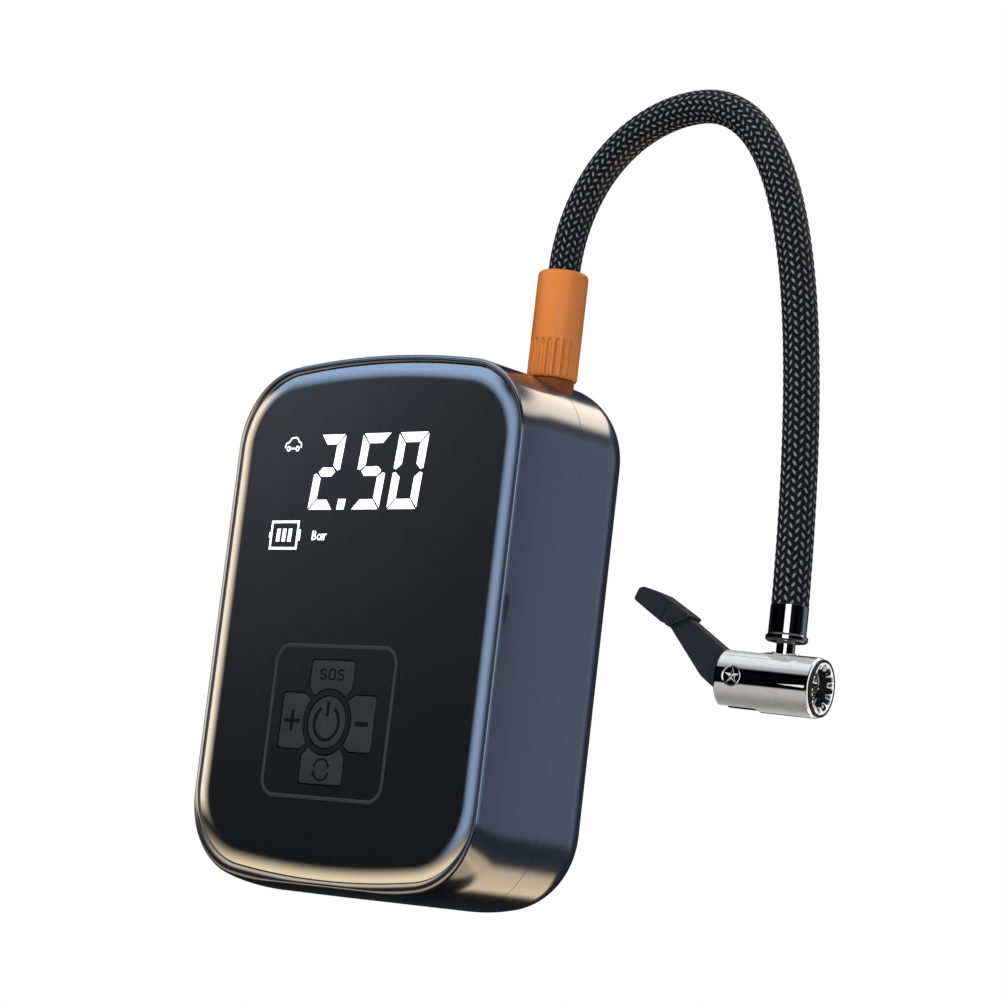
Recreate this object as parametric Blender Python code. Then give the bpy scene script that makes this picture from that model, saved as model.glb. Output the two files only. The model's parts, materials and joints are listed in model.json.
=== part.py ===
"""Portable tire inflator: a battery pump in a two-shell housing, with a braided hose and a lever chuck.

Every dimension is in millimetres and is scaled to metres when an object is made.
Frame: origin at the centre of the base, +X to the hose side, +Y to the back, +Z up.
Left and right are as seen from the front, so the hose is on the right.
"""

import math

import bmesh
import bpy
from mathutils import Matrix, Vector

MM = 0.001
GAP = 0.3  # clearance between neighbouring parts
SMOOTH_ANGLE = math.radians(32)  # edges sharper than this stay sharp

# name: (base colour, roughness, metallic)
FINISHES = {
    "shell": ((0.045, 0.055, 0.078), 0.16, 0.35),
    "lens": ((0.012, 0.012, 0.014), 0.05, 0.0),
    "key": ((0.048, 0.048, 0.048), 0.45, 0.0),
    "display": ((0.01, 0.01, 0.01), 0.3, 0.0),
    "pcb": ((0.02, 0.12, 0.05), 0.5, 0.0),
    "dark_plastic": ((0.015, 0.015, 0.016), 0.5, 0.0),
    "cell": ((0.05, 0.22, 0.35), 0.35, 0.0),
    "steel": ((0.55, 0.55, 0.56), 0.3, 1.0),
    "nickel": ((0.62, 0.6, 0.55), 0.28, 1.0),
    "brass": ((0.72, 0.52, 0.22), 0.3, 1.0),
    "aluminium": ((0.68, 0.69, 0.7), 0.4, 1.0),
    "orange": ((0.84, 0.25, 0.05), 0.5, 0.0),
    "braid": ((0.02, 0.02, 0.022), 0.6, 0.0),
    "chrome": ((0.85, 0.85, 0.86), 0.06, 1.0),
    "black_chrome": ((0.1, 0.1, 0.11), 0.1, 1.0),
    "rubber": ((0.02, 0.02, 0.02), 0.7, 0.0),
    "lever": ((0.016, 0.017, 0.019), 0.55, 0.0),
    "clear": ((0.85, 0.87, 0.88), 0.1, 0.0),
    "silicone": ((0.6, 0.62, 0.62), 0.4, 0.0),
    "copper": ((0.75, 0.33, 0.18), 0.35, 1.0),
}


# ---------------------------------------------------------------- objects
def make_material(name, colour, roughness, metallic):
    material = bpy.data.materials.new(name)
    material.use_nodes = True
    inputs = material.node_tree.nodes["Principled BSDF"].inputs
    inputs["Base Color"].default_value = (*colour, 1.0)
    inputs["Roughness"].default_value = roughness
    inputs["Metallic"].default_value = metallic
    material.diffuse_color = (*colour, 1.0)
    return material


def skin(mesh, rings, looped):
    """Joins neighbouring rings with faces. A one-point ring is a pole. Open ends are capped."""
    rows = [[mesh.verts.new(point) for point in ring] for ring in rings]
    count = max(len(row) for row in rows)
    pairs = list(zip(rows, rows[1:]))
    if looped:
        pairs.append((rows[-1], rows[0]))
    for near, far in pairs:
        for i in range(count):
            j = (i + 1) % count
            if len(near) == 1:
                corners = (near[0], far[j], far[i])
            elif len(far) == 1:
                corners = (near[i], near[j], far[0])
            else:
                corners = (near[i], near[j], far[j], far[i])
            mesh.faces.new(corners)
    if not looped and len(rows[0]) > 1:
        mesh.faces.new(rows[0])
        mesh.faces.new(list(reversed(rows[-1])))


def link_object(name, mesh, origin=(0, 0, 0), frame=None):
    """Turns a bmesh drawn in millimetres into an object whose origin is at the given point."""
    if frame is not None:
        mesh.transform(frame)
    bmesh.ops.recalc_face_normals(mesh, faces=mesh.faces)
    centre = Vector(origin)
    mesh.transform(Matrix.Scale(MM, 4) @ Matrix.Translation(-centre))
    data = bpy.data.meshes.new(name)
    mesh.to_mesh(data)
    mesh.free()
    made = bpy.data.objects.new(name, data)
    made.location = centre * MM
    bpy.context.scene.collection.objects.link(made)
    return made


def apply_finish(target, finish):
    target.data.materials.append(MATERIALS[finish])
    target.data.shade_smooth()
    target.data.set_sharp_from_angle(angle=SMOOTH_ANGLE)


def skinned(shape):
    """A shape is a list of (rings, looped) skins; this draws them all in one bmesh."""
    mesh = bmesh.new()
    for rings, looped in shape:
        skin(mesh, rings, looped)
    return mesh


def piece(name, finish, shape, origin=(0, 0, 0), frame=None):
    made = link_object(name, skinned(shape), origin, frame)
    apply_finish(made, finish)
    return made


def combine(target, label, shape, operation, frame):
    """Boolean of a hidden wire helper on the target."""
    helper = link_object(f"{target.name}_{label}", skinned(shape), frame=frame)
    helper.hide_render = True
    helper.display_type = "WIRE"
    modifier = target.modifiers.new(label, "BOOLEAN")
    modifier.operation = operation
    modifier.solver = "EXACT"
    modifier.object = helper


def cut(target, label, shape, frame=None):
    combine(target, label, shape, "DIFFERENCE", frame)


def join(target, label, shape, frame=None):
    combine(target, label, shape, "UNION", frame)


# ---------------------------------------------------------------- shapes
def loft(rings, looped=False):
    return [(rings, looped)]


# Each takes two coordinates across the axis and one along it, and gives (x, y, z).
PRISM_AXES = {
    "x": lambda first, second, along: (along, first, second),
    "y": lambda first, second, along: (first, along, second),
    "z": lambda first, second, along: (first, second, along),
}
LATHE_AXES = {**PRISM_AXES, "y": lambda first, second, along: (second, along, first)}


def prism(outline, axis, low, high):
    """Extrudes a flat outline: (y, z) points along x, (x, z) along y, (x, y) along z."""
    place = PRISM_AXES[axis]
    return loft([[place(*point, along) for point in outline] for along in (low, high)])


def box(x_low, x_high, y_low, y_high, z_low, z_high):
    corners = [(x_low, y_low), (x_high, y_low), (x_high, y_high), (x_low, y_high)]
    return prism(corners, "z", z_low, z_high)


def circle(radius, count, centre=(0.0, 0.0), start=0.0):
    angles = [start + 2 * math.pi * k / count for k in range(count)]
    return [
        (centre[0] + radius * math.cos(angle), centre[1] + radius * math.sin(angle))
        for angle in angles
    ]


def lathe(profile, axis="z", centre=(0.0, 0.0), count=24):
    """Turns a profile of (radius, place along the axis).

    A profile with radius 0 at both ends makes a solid; any other is a closed ring.
    The centre is (y, z) for axis x, (z, x) for axis y and (x, y) for axis z.
    """
    place = LATHE_AXES[axis]
    rings = []
    for radius, along in profile:
        points = circle(radius, count, centre) if radius else [centre]
        rings.append([place(*point, along) for point in points])
    return loft(rings, looped=not (profile[0][0] == 0 and profile[-1][0] == 0))


def rod(radius, low, high, axis="z", centre=(0.0, 0.0), count=20):
    return lathe([(0, low), (radius, low), (radius, high), (0, high)], axis, centre, count)


def rods(radius, low, high, axis, centres, count):
    return [part for centre in centres for part in rod(radius, low, high, axis, centre, count)]


def screws(name, profile, axis, centres):
    for label, centre in zip("abcd", centres):
        piece(f"{name}_{label}", "steel", lathe(profile, axis, centre, 12))


def bezier(points, t):
    rest = 1 - t
    return (
        points[0] * rest**3
        + points[1] * 3 * t * rest * rest
        + points[2] * 3 * t * t * rest
        + points[3] * t**3
    )


def sweep(path, outer, inner, count, start_rings=(), end_rings=()):
    """Tube along a path that lies close to an XZ plane.

    outer holds the outside radius at the start and at the end. The end rings shape the
    outside beyond the path, as (offset along the tangent, radius).
    """
    side = Vector((0, 1, 0))
    frames = []
    for k, point in enumerate(path):
        tangent = (path[min(k + 1, len(path) - 1)] - path[max(k - 1, 0)]).normalized()
        frames.append((point, tangent, tangent.cross(side).normalized()))

    def ring(frame, radius, offset=0.0):
        point, tangent, across = frame
        return [
            tuple(point + tangent * offset + radius * (cosine * across + sine * side))
            for cosine, sine in circle(1.0, count)
        ]

    outside = [
        ring(frame, outer[0] + (outer[1] - outer[0]) * k / (len(frames) - 1))
        for k, frame in enumerate(frames)
    ]
    outside = [ring(frames[0], radius, offset) for offset, radius in start_rings] + outside
    outside += [ring(frames[-1], radius, offset) for offset, radius in end_rings]
    inside = [ring(frame, inner) for frame in frames]
    if start_rings:
        inside[0] = ring(frames[0], inner, start_rings[0][0])
    if end_rings:
        inside[-1] = ring(frames[-1], inner, end_rings[-1][0])
    return loft(outside + list(reversed(inside)), looped=True)


# ---------------------------------------------------------------- housing dimensions
Y_RIM, Y_SPLIT_FRONT, Y_SPLIT_REAR, Y_BACK = -21.9, -0.9, -0.6, 20.9
HALF_WIDTH_RIM, SIDE_BULGE = 47.0, 1.0
Z_TOP, Z_TOP_RIM, Z_BASE, Z_BASE_RIM = 130.2, 130.5, 0.0, 1.5
CORNER_R, CORNER_STEPS = 19.5, 5
BOW_R, BASE_FLAT, BASE_BOW_R = 240.0, 20.0, 60.0  # BASE_FLAT is half the flat's width
BULGE_DEPTH, BULGE_POWER = 9.4, 2.2
Y_FULL_WIDTH = Y_RIM + BULGE_DEPTH
REAR_EDGE_R, WALL = 11.0, 2.2
REAR_EDGE_START = Y_BACK - REAR_EDGE_R

LENS_HALF_WIDTH, LENS_TOP, LENS_BOTTOM, LENS_R = 46.0, 128.7, 3.25, 19.0
LENS_FRONT, LENS_BACK, LENS_BEVEL = -21.5, -19.9, (0.6, 0.5)  # bevel across, deep
WALL_FRONT, WALL_BACK = LENS_BACK + GAP, -17.8  # the front shell's panel behind the lens

PCB_FRONT, PCB_THICKNESS = -14.6, 1.6
PCB_BACK = PCB_FRONT + PCB_THICKNESS
DISPLAY_X, DISPLAY_Z = (-33.6, 22.0), (78.0, 113.0)
DISPLAY_FRONT, DISPLAY_GAP = -19.5, 0.4

BOSS_R, PILOT_R, SCREW_HOLE_R, SCREW_WELL_R = 3.0, 1.45, 1.75, 2.45
BOSSES = ((116.5, -37.0), (121.0, 20.5), (13.5, -38.5), (13.5, 38.5))  # (z, x)
SCREW_HEAD_Y = 12.0
VENT_HALF_WIDTH, VENT_HEIGHT, VENT_Z, VENT_PITCH, VENT_COUNT = 9.0, 1.6, 38.0, 4.2, 6
USB_Y, USB_Z, USB_HALF_Y, USB_HALF_Z, USB_WALL = 8.1, 30.0, 1.5, 4.5, 0.3
LAMP_X, LAMP_Y, LAMP_Z = (-27.0, -17.0), (4.5, 9.1), (124.8, 129.2)

HOSE_X = 35.3
HOSE_AXIS = (HOSE_X, 0.0)
NUT_BOTTOM, NUT_TOP = 127.5, 153.9
# A hole for the spigot, and a flat seat where the grip comes down on the sloping corner.
SOCKET_HOLE = [
    (0, 110.0), (4.6, 110.0), (4.6, NUT_BOTTOM - GAP),
    (6.5, NUT_BOTTOM - GAP), (6.5, 140.0), (0, 140.0),
]


# ---------------------------------------------------------------- housing outlines
def corner_blend(reach, radius, bow_radius):
    """Where a corner arc meets a bowed end: (its centre's depth below the bow's crown, tilt)."""
    rise = bow_radius - radius
    return bow_radius - math.sqrt(rise * rise - reach * reach), math.asin(reach / rise)


def face_outline(half_width, top, bottom, radius, flat_base=False):
    """Front-view (x, z) outline, anticlockwise from the right side.

    It has straight sides, round corners and gently bowed ends.
    """
    reach = half_width - radius

    def corner(tilt, centre_z, direction):
        angles = [(math.pi / 2 - tilt) * k / CORNER_STEPS for k in range(CORNER_STEPS + 1)]
        return [
            (reach + radius * math.cos(angle), centre_z + direction * radius * math.sin(angle))
            for angle in angles
        ]

    depth, tilt = corner_blend(reach, radius, BOW_R)
    bow = [
        (BOW_R * math.sin(angle), BOW_R * (1 - math.cos(angle)))
        for angle in (tilt / 3, tilt * 2 / 3)
    ]
    upper = corner(tilt, top - depth, 1) + [(x, top - drop) for x, drop in reversed(bow)]
    upper = upper + [(0.0, top)] + [(-x, z) for x, z in reversed(upper)]
    if flat_base:
        depth, tilt = corner_blend(reach - BASE_FLAT, radius, BASE_BOW_R)
        middle = tilt / 2
        bow = [
            (BASE_FLAT, 0.0),
            (BASE_FLAT + BASE_BOW_R * math.sin(middle), BASE_BOW_R * (1 - math.cos(middle))),
        ]
    base = [(x, bottom + lift) for x, lift in bow]
    right = base + list(reversed(corner(tilt, bottom + depth, -1)))
    return upper + [(-x, z) for x, z in reversed(right)] + [(0.0, bottom)] + right


def shell_section(y, inset=0.0):
    """Outline of the housing at depth y, drawn in by inset."""
    depth = min(1.0, max(0.0, (y - Y_RIM) / BULGE_DEPTH))
    bulge = 1 - (1 - depth) ** BULGE_POWER
    if y > REAR_EDGE_START:
        reach = min(1.0, (y - REAR_EDGE_START) / REAR_EDGE_R)
        inset += REAR_EDGE_R * (1 - math.sqrt(max(0.0, 1 - reach * reach)))
    outline = face_outline(
        HALF_WIDTH_RIM + SIDE_BULGE * bulge - inset,
        Z_TOP_RIM + (Z_TOP - Z_TOP_RIM) * bulge - inset,
        Z_BASE_RIM + (Z_BASE - Z_BASE_RIM) * bulge + inset,
        max(4.0, CORNER_R - inset),
        flat_base=True,
    )
    return [(x, y, z) for x, z in outline]


def moved(ring, y):
    return [(x, y, z) for x, _, z in ring]


def lens_outline(grow=0.0):
    return face_outline(
        LENS_HALF_WIDTH + grow, LENS_TOP + grow, LENS_BOTTOM - grow, LENS_R + grow
    )


# ---------------------------------------------------------------- keys
KEYPAD_X, KEYPAD_Z = -4.5, 40.6
POWER_R, KEY_ARC_R, KEY_ARC_HALF_ANGLE = 6.2, 8.1, math.radians(40.0)
KEY_INNER = 8.3  # where a key's straight sides end, from the keypad's centre
UPRIGHT_KEY = (7.1, 14.9)  # sos and mode: half width, outer edge from the centre
SIDE_KEY = (6.7, 15.5)  # plus and minus: the same
KEY_FRONT, KEY_BACK = LENS_FRONT, -18.2
STEM_R, STEM_END = 1.6, -17.4
SWITCH_HALF, SWITCH_FRONT = 2.6, -16.2
# name: (quarter turns clockwise in the front view, stem x and z from the keypad's centre)
KEYS = {
    "power": (0, 0.0, 0.0),
    "sos": (0, 0.0, 11.4),
    "mode": (2, 0.0, -11.4),
    "plus": (3, -11.8, 0.0),
    "minus": (1, 11.8, 0.0),
}


def key_outline(name, grow=0.0):
    """Front-view outline of a key; grow enlarges it for the hole it moves in."""
    if name == "power":
        return circle(POWER_R + grow, 28, (KEYPAD_X, KEYPAD_Z))
    turns = KEYS[name][0]
    half_width, outer = UPRIGHT_KEY if turns % 2 == 0 else SIDE_KEY
    half_width += grow
    outer += grow
    arc_radius = KEY_ARC_R - grow
    inner = KEY_INNER - grow * 0.4
    points = [(-half_width, outer), (-half_width, inner)]
    for k in range(9):
        angle = KEY_ARC_HALF_ANGLE * (1 - k / 4)
        shift = grow * 0.5 if k == 0 else 0.0
        points.append((-arc_radius * math.sin(angle) - shift, arc_radius * math.cos(angle)))
    points += [(half_width, inner), (half_width, outer)]
    cosine, sine = math.cos(-turns * math.pi / 2), math.sin(-turns * math.pi / 2)
    return [
        (KEYPAD_X + cosine * x - sine * z, KEYPAD_Z + sine * x + cosine * z) for x, z in points
    ]


def key_holes(low, high):
    return [part for name in KEYS for part in prism(key_outline(name, GAP), "y", low, high)]


def build_keys():
    """Each key has a stem at the back and a switch behind it on the board."""
    for name, (_, stem_x, stem_z) in KEYS.items():
        x, z = KEYPAD_X + stem_x, KEYPAD_Z + stem_z
        outline = key_outline(name)
        key = piece(
            f"key_{name}", "key", prism(outline, "y", KEY_FRONT, KEY_BACK), (x, KEY_FRONT, z)
        )
        join(key, "stem", rod(STEM_R, KEY_BACK - 0.6, STEM_END, "y", (z, x), 12))
        body = box(
            x - SWITCH_HALF, x + SWITCH_HALF,
            SWITCH_FRONT, PCB_FRONT - GAP,
            z - SWITCH_HALF, z + SWITCH_HALF,
        )
        switch = piece(f"switch_{name}", "dark_plastic", body)
        join(switch, "cap", rod(1.3, SWITCH_FRONT - 0.5, SWITCH_FRONT + 0.4, "y", (z, x), 12))


# ---------------------------------------------------------------- housing
def build_front_shell():
    rings = [moved(shell_section(Y_RIM, 0.25), Y_RIM)]
    depths = (Y_RIM + 0.3, -18.5, -15.0, Y_FULL_WIDTH, Y_SPLIT_FRONT)
    shell = piece("front_shell", "shell", loft(rings + [shell_section(y) for y in depths]))
    inner = shell_section(Y_FULL_WIDTH, WALL)
    cut(shell, "pocket", loft([moved(inner, y) for y in (WALL_BACK, Y_SPLIT_FRONT + 1)]))
    cut(shell, "lens_seat", prism(lens_outline(GAP), "y", Y_RIM - 1, WALL_FRONT))
    window = box(
        DISPLAY_X[0] - DISPLAY_GAP, DISPLAY_X[1] + DISPLAY_GAP,
        WALL_FRONT - 1, WALL_BACK + 1,
        DISPLAY_Z[0] - DISPLAY_GAP, DISPLAY_Z[1] + DISPLAY_GAP,
    )
    cut(shell, "openings", window + key_holes(WALL_FRONT - 1, WALL_BACK + 1))
    join(shell, "bosses", rods(BOSS_R, WALL_BACK - 0.5, Y_SPLIT_FRONT - 0.3, "y", BOSSES, 12))
    cut(shell, "pilots", rods(PILOT_R, -11.5, Y_SPLIT_FRONT + 1, "y", BOSSES, 10))
    cut(shell, "socket_hole", lathe(SOCKET_HOLE, "z", HOSE_AXIS, 20))


def rear_openings():
    """Screw wells, the socket's half hole, vent slots, the charging port and the lamp window."""
    well_floor = SCREW_HEAD_Y - 1.0
    well = [
        (0, -2.0), (SCREW_HOLE_R, -2.0), (SCREW_HOLE_R, well_floor),
        (SCREW_WELL_R, well_floor), (SCREW_WELL_R, 25.0), (0, 25.0),
    ]
    shape = []
    for centre in BOSSES:
        shape += lathe(well, "y", centre, 12)
    shape += lathe(SOCKET_HOLE, "z", HOSE_AXIS, 20)
    for k in range(VENT_COUNT):
        z = VENT_Z + VENT_PITCH * k
        shape += box(-VENT_HALF_WIDTH, VENT_HALF_WIDTH, 17.0, 23.0, z, z + VENT_HEIGHT)
    half_y, half_z = USB_HALF_Y + GAP, USB_HALF_Z + GAP
    shape += box(-50.0, -42.0, USB_Y - half_y, USB_Y + half_y, USB_Z - half_z, USB_Z + half_z)
    shape += box(
        LAMP_X[0] - GAP, LAMP_X[1] + GAP, LAMP_Y[0] - GAP, LAMP_Y[1] + GAP, 122.0, 135.0
    )
    return shape


def build_rear_shell():
    angles = [math.radians(degrees) for degrees in (0, 27, 50, 70, 90)]
    depths = [REAR_EDGE_START + REAR_EDGE_R * math.sin(angle) for angle in angles]
    rings = [shell_section(y) for y in [Y_SPLIT_REAR] + depths]
    shell = piece("rear_shell", "shell", loft(rings))

    pocket = [moved(shell_section(0.0, WALL), Y_SPLIT_REAR - 1)]
    inner_radius = REAR_EDGE_R - WALL
    for degrees in (0, 42, 90):
        angle = math.radians(degrees)
        drawn_in = inner_radius * (1 - math.cos(angle))
        depth = REAR_EDGE_START + inner_radius * math.sin(angle)
        pocket.append(moved(shell_section(0.0, WALL + drawn_in), depth))
    cut(shell, "pocket", loft(pocket))
    join(shell, "bosses", rods(BOSS_R, Y_SPLIT_REAR + 0.3, 18.0, "y", BOSSES, 12))
    cut(shell, "openings", rear_openings())


def build_front_lens():
    across, deep = LENS_BEVEL
    stations = ((LENS_FRONT, -across), (LENS_FRONT + deep, 0.0), (LENS_BACK, 0.0))
    rings = [[(x, y, z) for x, z in lens_outline(grow)] for y, grow in stations]
    lens = piece("front_lens", "lens", loft(rings))
    cut(lens, "key_holes", key_holes(LENS_FRONT - 1, LENS_BACK + 1))


def build_housing_screws():
    seat, top = SCREW_HEAD_Y - 0.7, SCREW_HEAD_Y + 1.1
    profile = [
        (0, -9.5), (0.6, -9.5), (1.15, -8.0), (1.15, seat),
        (2.1, seat), (2.1, top - 0.5), (1.6, top), (0, top),
    ]
    screws("housing_screw", profile, "y", BOSSES)


# ---------------------------------------------------------------- electronics
PCB_OUTLINE = [  # (x, z)
    (-33.5, 11.0), (33.0, 11.0), (33.0, 96.0), (26.0, 103.0), (26.0, 112.0),
    (14.0, 124.0), (-31.0, 124.0), (-42.0, 110.0), (-42.0, 19.0),
]
CELL_R, CELL_LENGTH, CELL_Y, CELL_BOTTOM = 9.2, 65.0, -2.5, 44.0
CELL_X = (-33.2, -14.2)
STRIP_OVERHANG, STRIP_HALF_WIDTH, STRIP_THICKNESS = 4, 3.5, 0.3
SENSOR_AXIS = (14.0, 0.0)
SENSOR_PROFILE = [(0, 88.8), (4.0, 88.8), (4.0, 90.6), (1.7, 91.0), (1.7, 95.5), (0, 95.5)]


def build_display():
    shape = box(*DISPLAY_X, DISPLAY_FRONT, PCB_FRONT - DISPLAY_GAP, *DISPLAY_Z)
    piece("display_module", "display", shape)


def build_pcb():
    board = piece("main_pcb", "pcb", prism(PCB_OUTLINE, "y", PCB_FRONT, PCB_BACK))
    cut(board, "boss_holes", rods(BOSS_R + 0.4, PCB_FRONT - 1, PCB_BACK + 1, "y", BOSSES, 12))


def build_battery():
    """Two upright cells joined by a strip at each end."""
    top = CELL_BOTTOM + CELL_LENGTH
    profile = [
        (0, CELL_BOTTOM), (CELL_R - 0.5, CELL_BOTTOM), (CELL_R, CELL_BOTTOM + 0.5),
        (CELL_R, top - 1.2), (CELL_R - 0.9, top - 0.6), (3.0, top - 0.6), (3.0, top), (0, top),
    ]
    for side, x in zip(("left", "right"), CELL_X):
        piece(f"battery_cell_{side}", "cell", lathe(profile, "z", (x, CELL_Y), 20))
    strips = (("top", top + GAP), ("bottom", CELL_BOTTOM - GAP - STRIP_THICKNESS))
    for end, z in strips:
        shape = box(
            CELL_X[0] - STRIP_OVERHANG, CELL_X[1] + STRIP_OVERHANG,
            CELL_Y - STRIP_HALF_WIDTH, CELL_Y + STRIP_HALF_WIDTH,
            z, z + STRIP_THICKNESS,
        )
        piece(f"battery_strip_{end}", "nickel", shape)


def usb_ring(x, half_y, half_z):
    """Slot-shaped ring: two half circles parted along z."""
    points = []
    for cosine, sine in circle(1.0, 16):
        direction = (sine > 0.01) - (sine < -0.01)
        z = USB_Z + (half_z - half_y) * direction + half_y * sine
        points.append((x, USB_Y + half_y * cosine, z))
    return points


def build_usb_port():
    left, right = -47.4, -38.6
    outer = (USB_HALF_Y, USB_HALF_Z)
    inner = (USB_HALF_Y - USB_WALL, USB_HALF_Z - USB_WALL)
    stations = ((left, outer), (right, outer), (right, inner), (left, inner))
    rings = [usb_ring(x, *halves) for x, halves in stations]
    piece("usb_port", "steel", loft(rings, looped=True))


def build_lamp_lens():
    piece("lamp_lens", "clear", box(*LAMP_X, *LAMP_Y, *LAMP_Z))


def build_pressure_sensor():
    piece("pressure_sensor", "dark_plastic", lathe(SENSOR_PROFILE, "z", SENSOR_AXIS, 16))


# ---------------------------------------------------------------- motor and gears
AXIS_Y = 3.0
MOTOR_R, MOTOR_Z, MOTOR_LEFT, MOTOR_RIGHT, CAN_WALL = 13.85, 21.5, -29.0, 5.7, 1.2
MODULE, PINION_TEETH, CRANK_TEETH = 0.8, 10, 30
PRESSURE_ANGLE, BACKLASH = math.radians(25), 0.14
CENTRE_DISTANCE = MODULE * (PINION_TEETH + CRANK_TEETH) / 2 + 0.1
CRANK_Z = MOTOR_Z + CENTRE_DISTANCE
CRANK_THROW, ROD_LENGTH, ROD_X = 4.0, 27.0, 20.4
# Centres across the x axis, as (y, z).
MOTOR_AXIS = (AXIS_Y, MOTOR_Z)
CRANK_AXIS = (AXIS_Y, CRANK_Z)
CRANK_PIN_AXIS = (AXIS_Y, CRANK_Z - CRANK_THROW)
SHAFT_R = 2.0  # crank pin and crank axle
PINION_X, PINION_BORE_R = (9.5, 15.0), 1.5
CRANK_GEAR_X, WEB_LEFT = (10.2, 14.8), 14.0
ROTOR_PROFILE = [  # (radius, x): shaft, commutator, core, shaft
    (0, -34.5), (1.2, -34.5), (1.2, -28.0), (4.0, -28.0), (4.0, -21.5), (1.2, -21.5),
    (1.2, -19.0), (10.8, -19.0), (10.8, 0.5), (1.2, 0.5), (1.2, 15.8), (0, 15.8),
]
AXLE_PROFILE = [  # (radius, x), with a collar
    (0, 5.2), (SHAFT_R, 5.2), (SHAFT_R, 8.8), (3.4, 8.8),
    (3.4, 9.9), (SHAFT_R, 9.9), (SHAFT_R, 13.6), (0, 13.6),
]


def build_motor_can():
    inner_radius, floor = MOTOR_R - CAN_WALL, MOTOR_RIGHT - CAN_WALL
    profile = [
        (MOTOR_R, MOTOR_LEFT), (MOTOR_R, MOTOR_RIGHT - 0.8), (MOTOR_R - 0.8, MOTOR_RIGHT),
        (2.0, MOTOR_RIGHT), (2.0, floor), (inner_radius, floor), (inner_radius, MOTOR_LEFT),
    ]
    piece("motor_can", "steel", lathe(profile, "x", MOTOR_AXIS, 24))


def build_motor_end_cap():
    # (radius, distance to the left of the can)
    stations = [
        (MOTOR_R - 1.6, GAP), (5.0, GAP + 0.2), (5.0, 0.2), (1.6, 0.2), (1.6, 4.4),
        (5.0, 4.4), (6.0, 2.6), (MOTOR_R - 0.8, 2.6), (MOTOR_R, 2.0), (MOTOR_R, GAP),
    ]
    profile = [(radius, MOTOR_LEFT - distance) for radius, distance in stations]
    piece("motor_end_cap", "dark_plastic", lathe(profile, "x", MOTOR_AXIS, 20))


def build_motor_rotor():
    shape = lathe(ROTOR_PROFILE, "x", MOTOR_AXIS, 16)
    piece("motor_rotor", "copper", shape, (0, *MOTOR_AXIS))


def gear_outline(teeth, phase, centre=(0.0, 0.0)):
    """Involute gear with tip and root clearance, and teeth thinned by the backlash."""
    pitch = MODULE * teeth / 2
    base = pitch * math.cos(PRESSURE_ANGLE)

    def involute(radius):
        angle = math.acos(min(1.0, base / radius))
        return math.tan(angle) - angle

    half_tooth = math.pi / (2 * teeth) - BACKLASH / (2 * pitch)
    flank = []
    for radius in (pitch - 1.15 * MODULE, pitch - 0.1 * MODULE, pitch + 0.85 * MODULE):
        flank.append((radius, half_tooth + involute(pitch) - involute(max(radius, base))))
    tooth = [(radius, -angle) for radius, angle in flank] + list(reversed(flank))
    points = []
    for k in range(teeth):
        middle = phase + 2 * math.pi * k / teeth
        for radius, angle in tooth:
            y = centre[0] + radius * math.cos(middle + angle)
            z = centre[1] + radius * math.sin(middle + angle)
            points.append((y, z))
    return points


def build_drive_pinion():
    outer = gear_outline(PINION_TEETH, math.pi / 2, MOTOR_AXIS)
    start = math.atan2(outer[0][1] - MOTOR_Z, outer[0][0] - AXIS_Y)
    bore = circle(PINION_BORE_R, len(outer), MOTOR_AXIS, start)
    left, right = PINION_X
    stations = ((left, outer), (right, outer), (right, bore), (left, bore))
    rings = [[(x, y, z) for y, z in outline] for x, outline in stations]
    piece("drive_pinion", "brass", loft(rings, looped=True), (0, *MOTOR_AXIS))


def build_crank_gear():
    # The phase puts a tooth gap at the bottom, over the pinion's top tooth.
    outline = gear_outline(CRANK_TEETH, -math.pi / 2 + math.pi / CRANK_TEETH, CRANK_AXIS)
    gear = piece("crank_gear", "steel", prism(outline, "x", *CRANK_GEAR_X), (0, *CRANK_AXIS))
    join(gear, "crank_pin", rod(SHAFT_R, WEB_LEFT, 17.8, "x", CRANK_PIN_AXIS, 16))
    join(gear, "web", rod(6.4, WEB_LEFT, 15.8, "x", CRANK_AXIS, 24))
    cut(gear, "axle_hole", rod(SHAFT_R + GAP, 9.0, WEB_LEFT, "x", CRANK_AXIS, 20))


def build_crank_axle():
    piece("crank_axle", "steel", lathe(AXLE_PROFILE, "x", CRANK_AXIS, 20))


# ---------------------------------------------------------------- pump
PLATE_X, PLATE_BOTTOM = (6.0, 8.5), 9.0
SHELF_Z, SHELF_RIGHT = (51.9, 54.4), 33.4
FRAME_HALF_DEPTH = 12.6
PLATE_CUT_X, SHELF_CUT_Z = (5.0, 9.5), (50.0, 56.0)  # ranges that pass through the frame
BORE_R, CYLINDER_R, FIN_ROOT_R, FIN_PITCH = 9.5, 11.5, 10.5, 5
CYLINDER_BOTTOM, CYLINDER_TOP = SHELF_Z[1] + GAP, 72.2
CYLINDER_AXIS = (ROD_X, AXIS_Y)
PISTON_R, PISTON_GROOVE_R = 9.1, 8.0
PISTON_Z = CRANK_PIN_AXIS[1] + ROD_LENGTH
BIG_END_R, SHANK_HALF_WIDTH, SHANK_HALF_THICKNESS = 5.0, 2.6, 2.0
HEAD_Z, HEAD_HALF_WIDTH = (CYLINDER_TOP + GAP, 80.0), 12.9
NIPPLE_X, NIPPLE_Z = 29.6, 84.2
CLEARANCE_R = 1.6  # holes for the head and motor screws
HEAD_SCREW_OFFSET, MOTOR_SCREW_OFFSET = 10.3, 8.0
HEAD_SCREWS = (  # (x, y)
    (ROD_X + HEAD_SCREW_OFFSET, AXIS_Y - HEAD_SCREW_OFFSET),
    (ROD_X - HEAD_SCREW_OFFSET, AXIS_Y + HEAD_SCREW_OFFSET),
)
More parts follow.
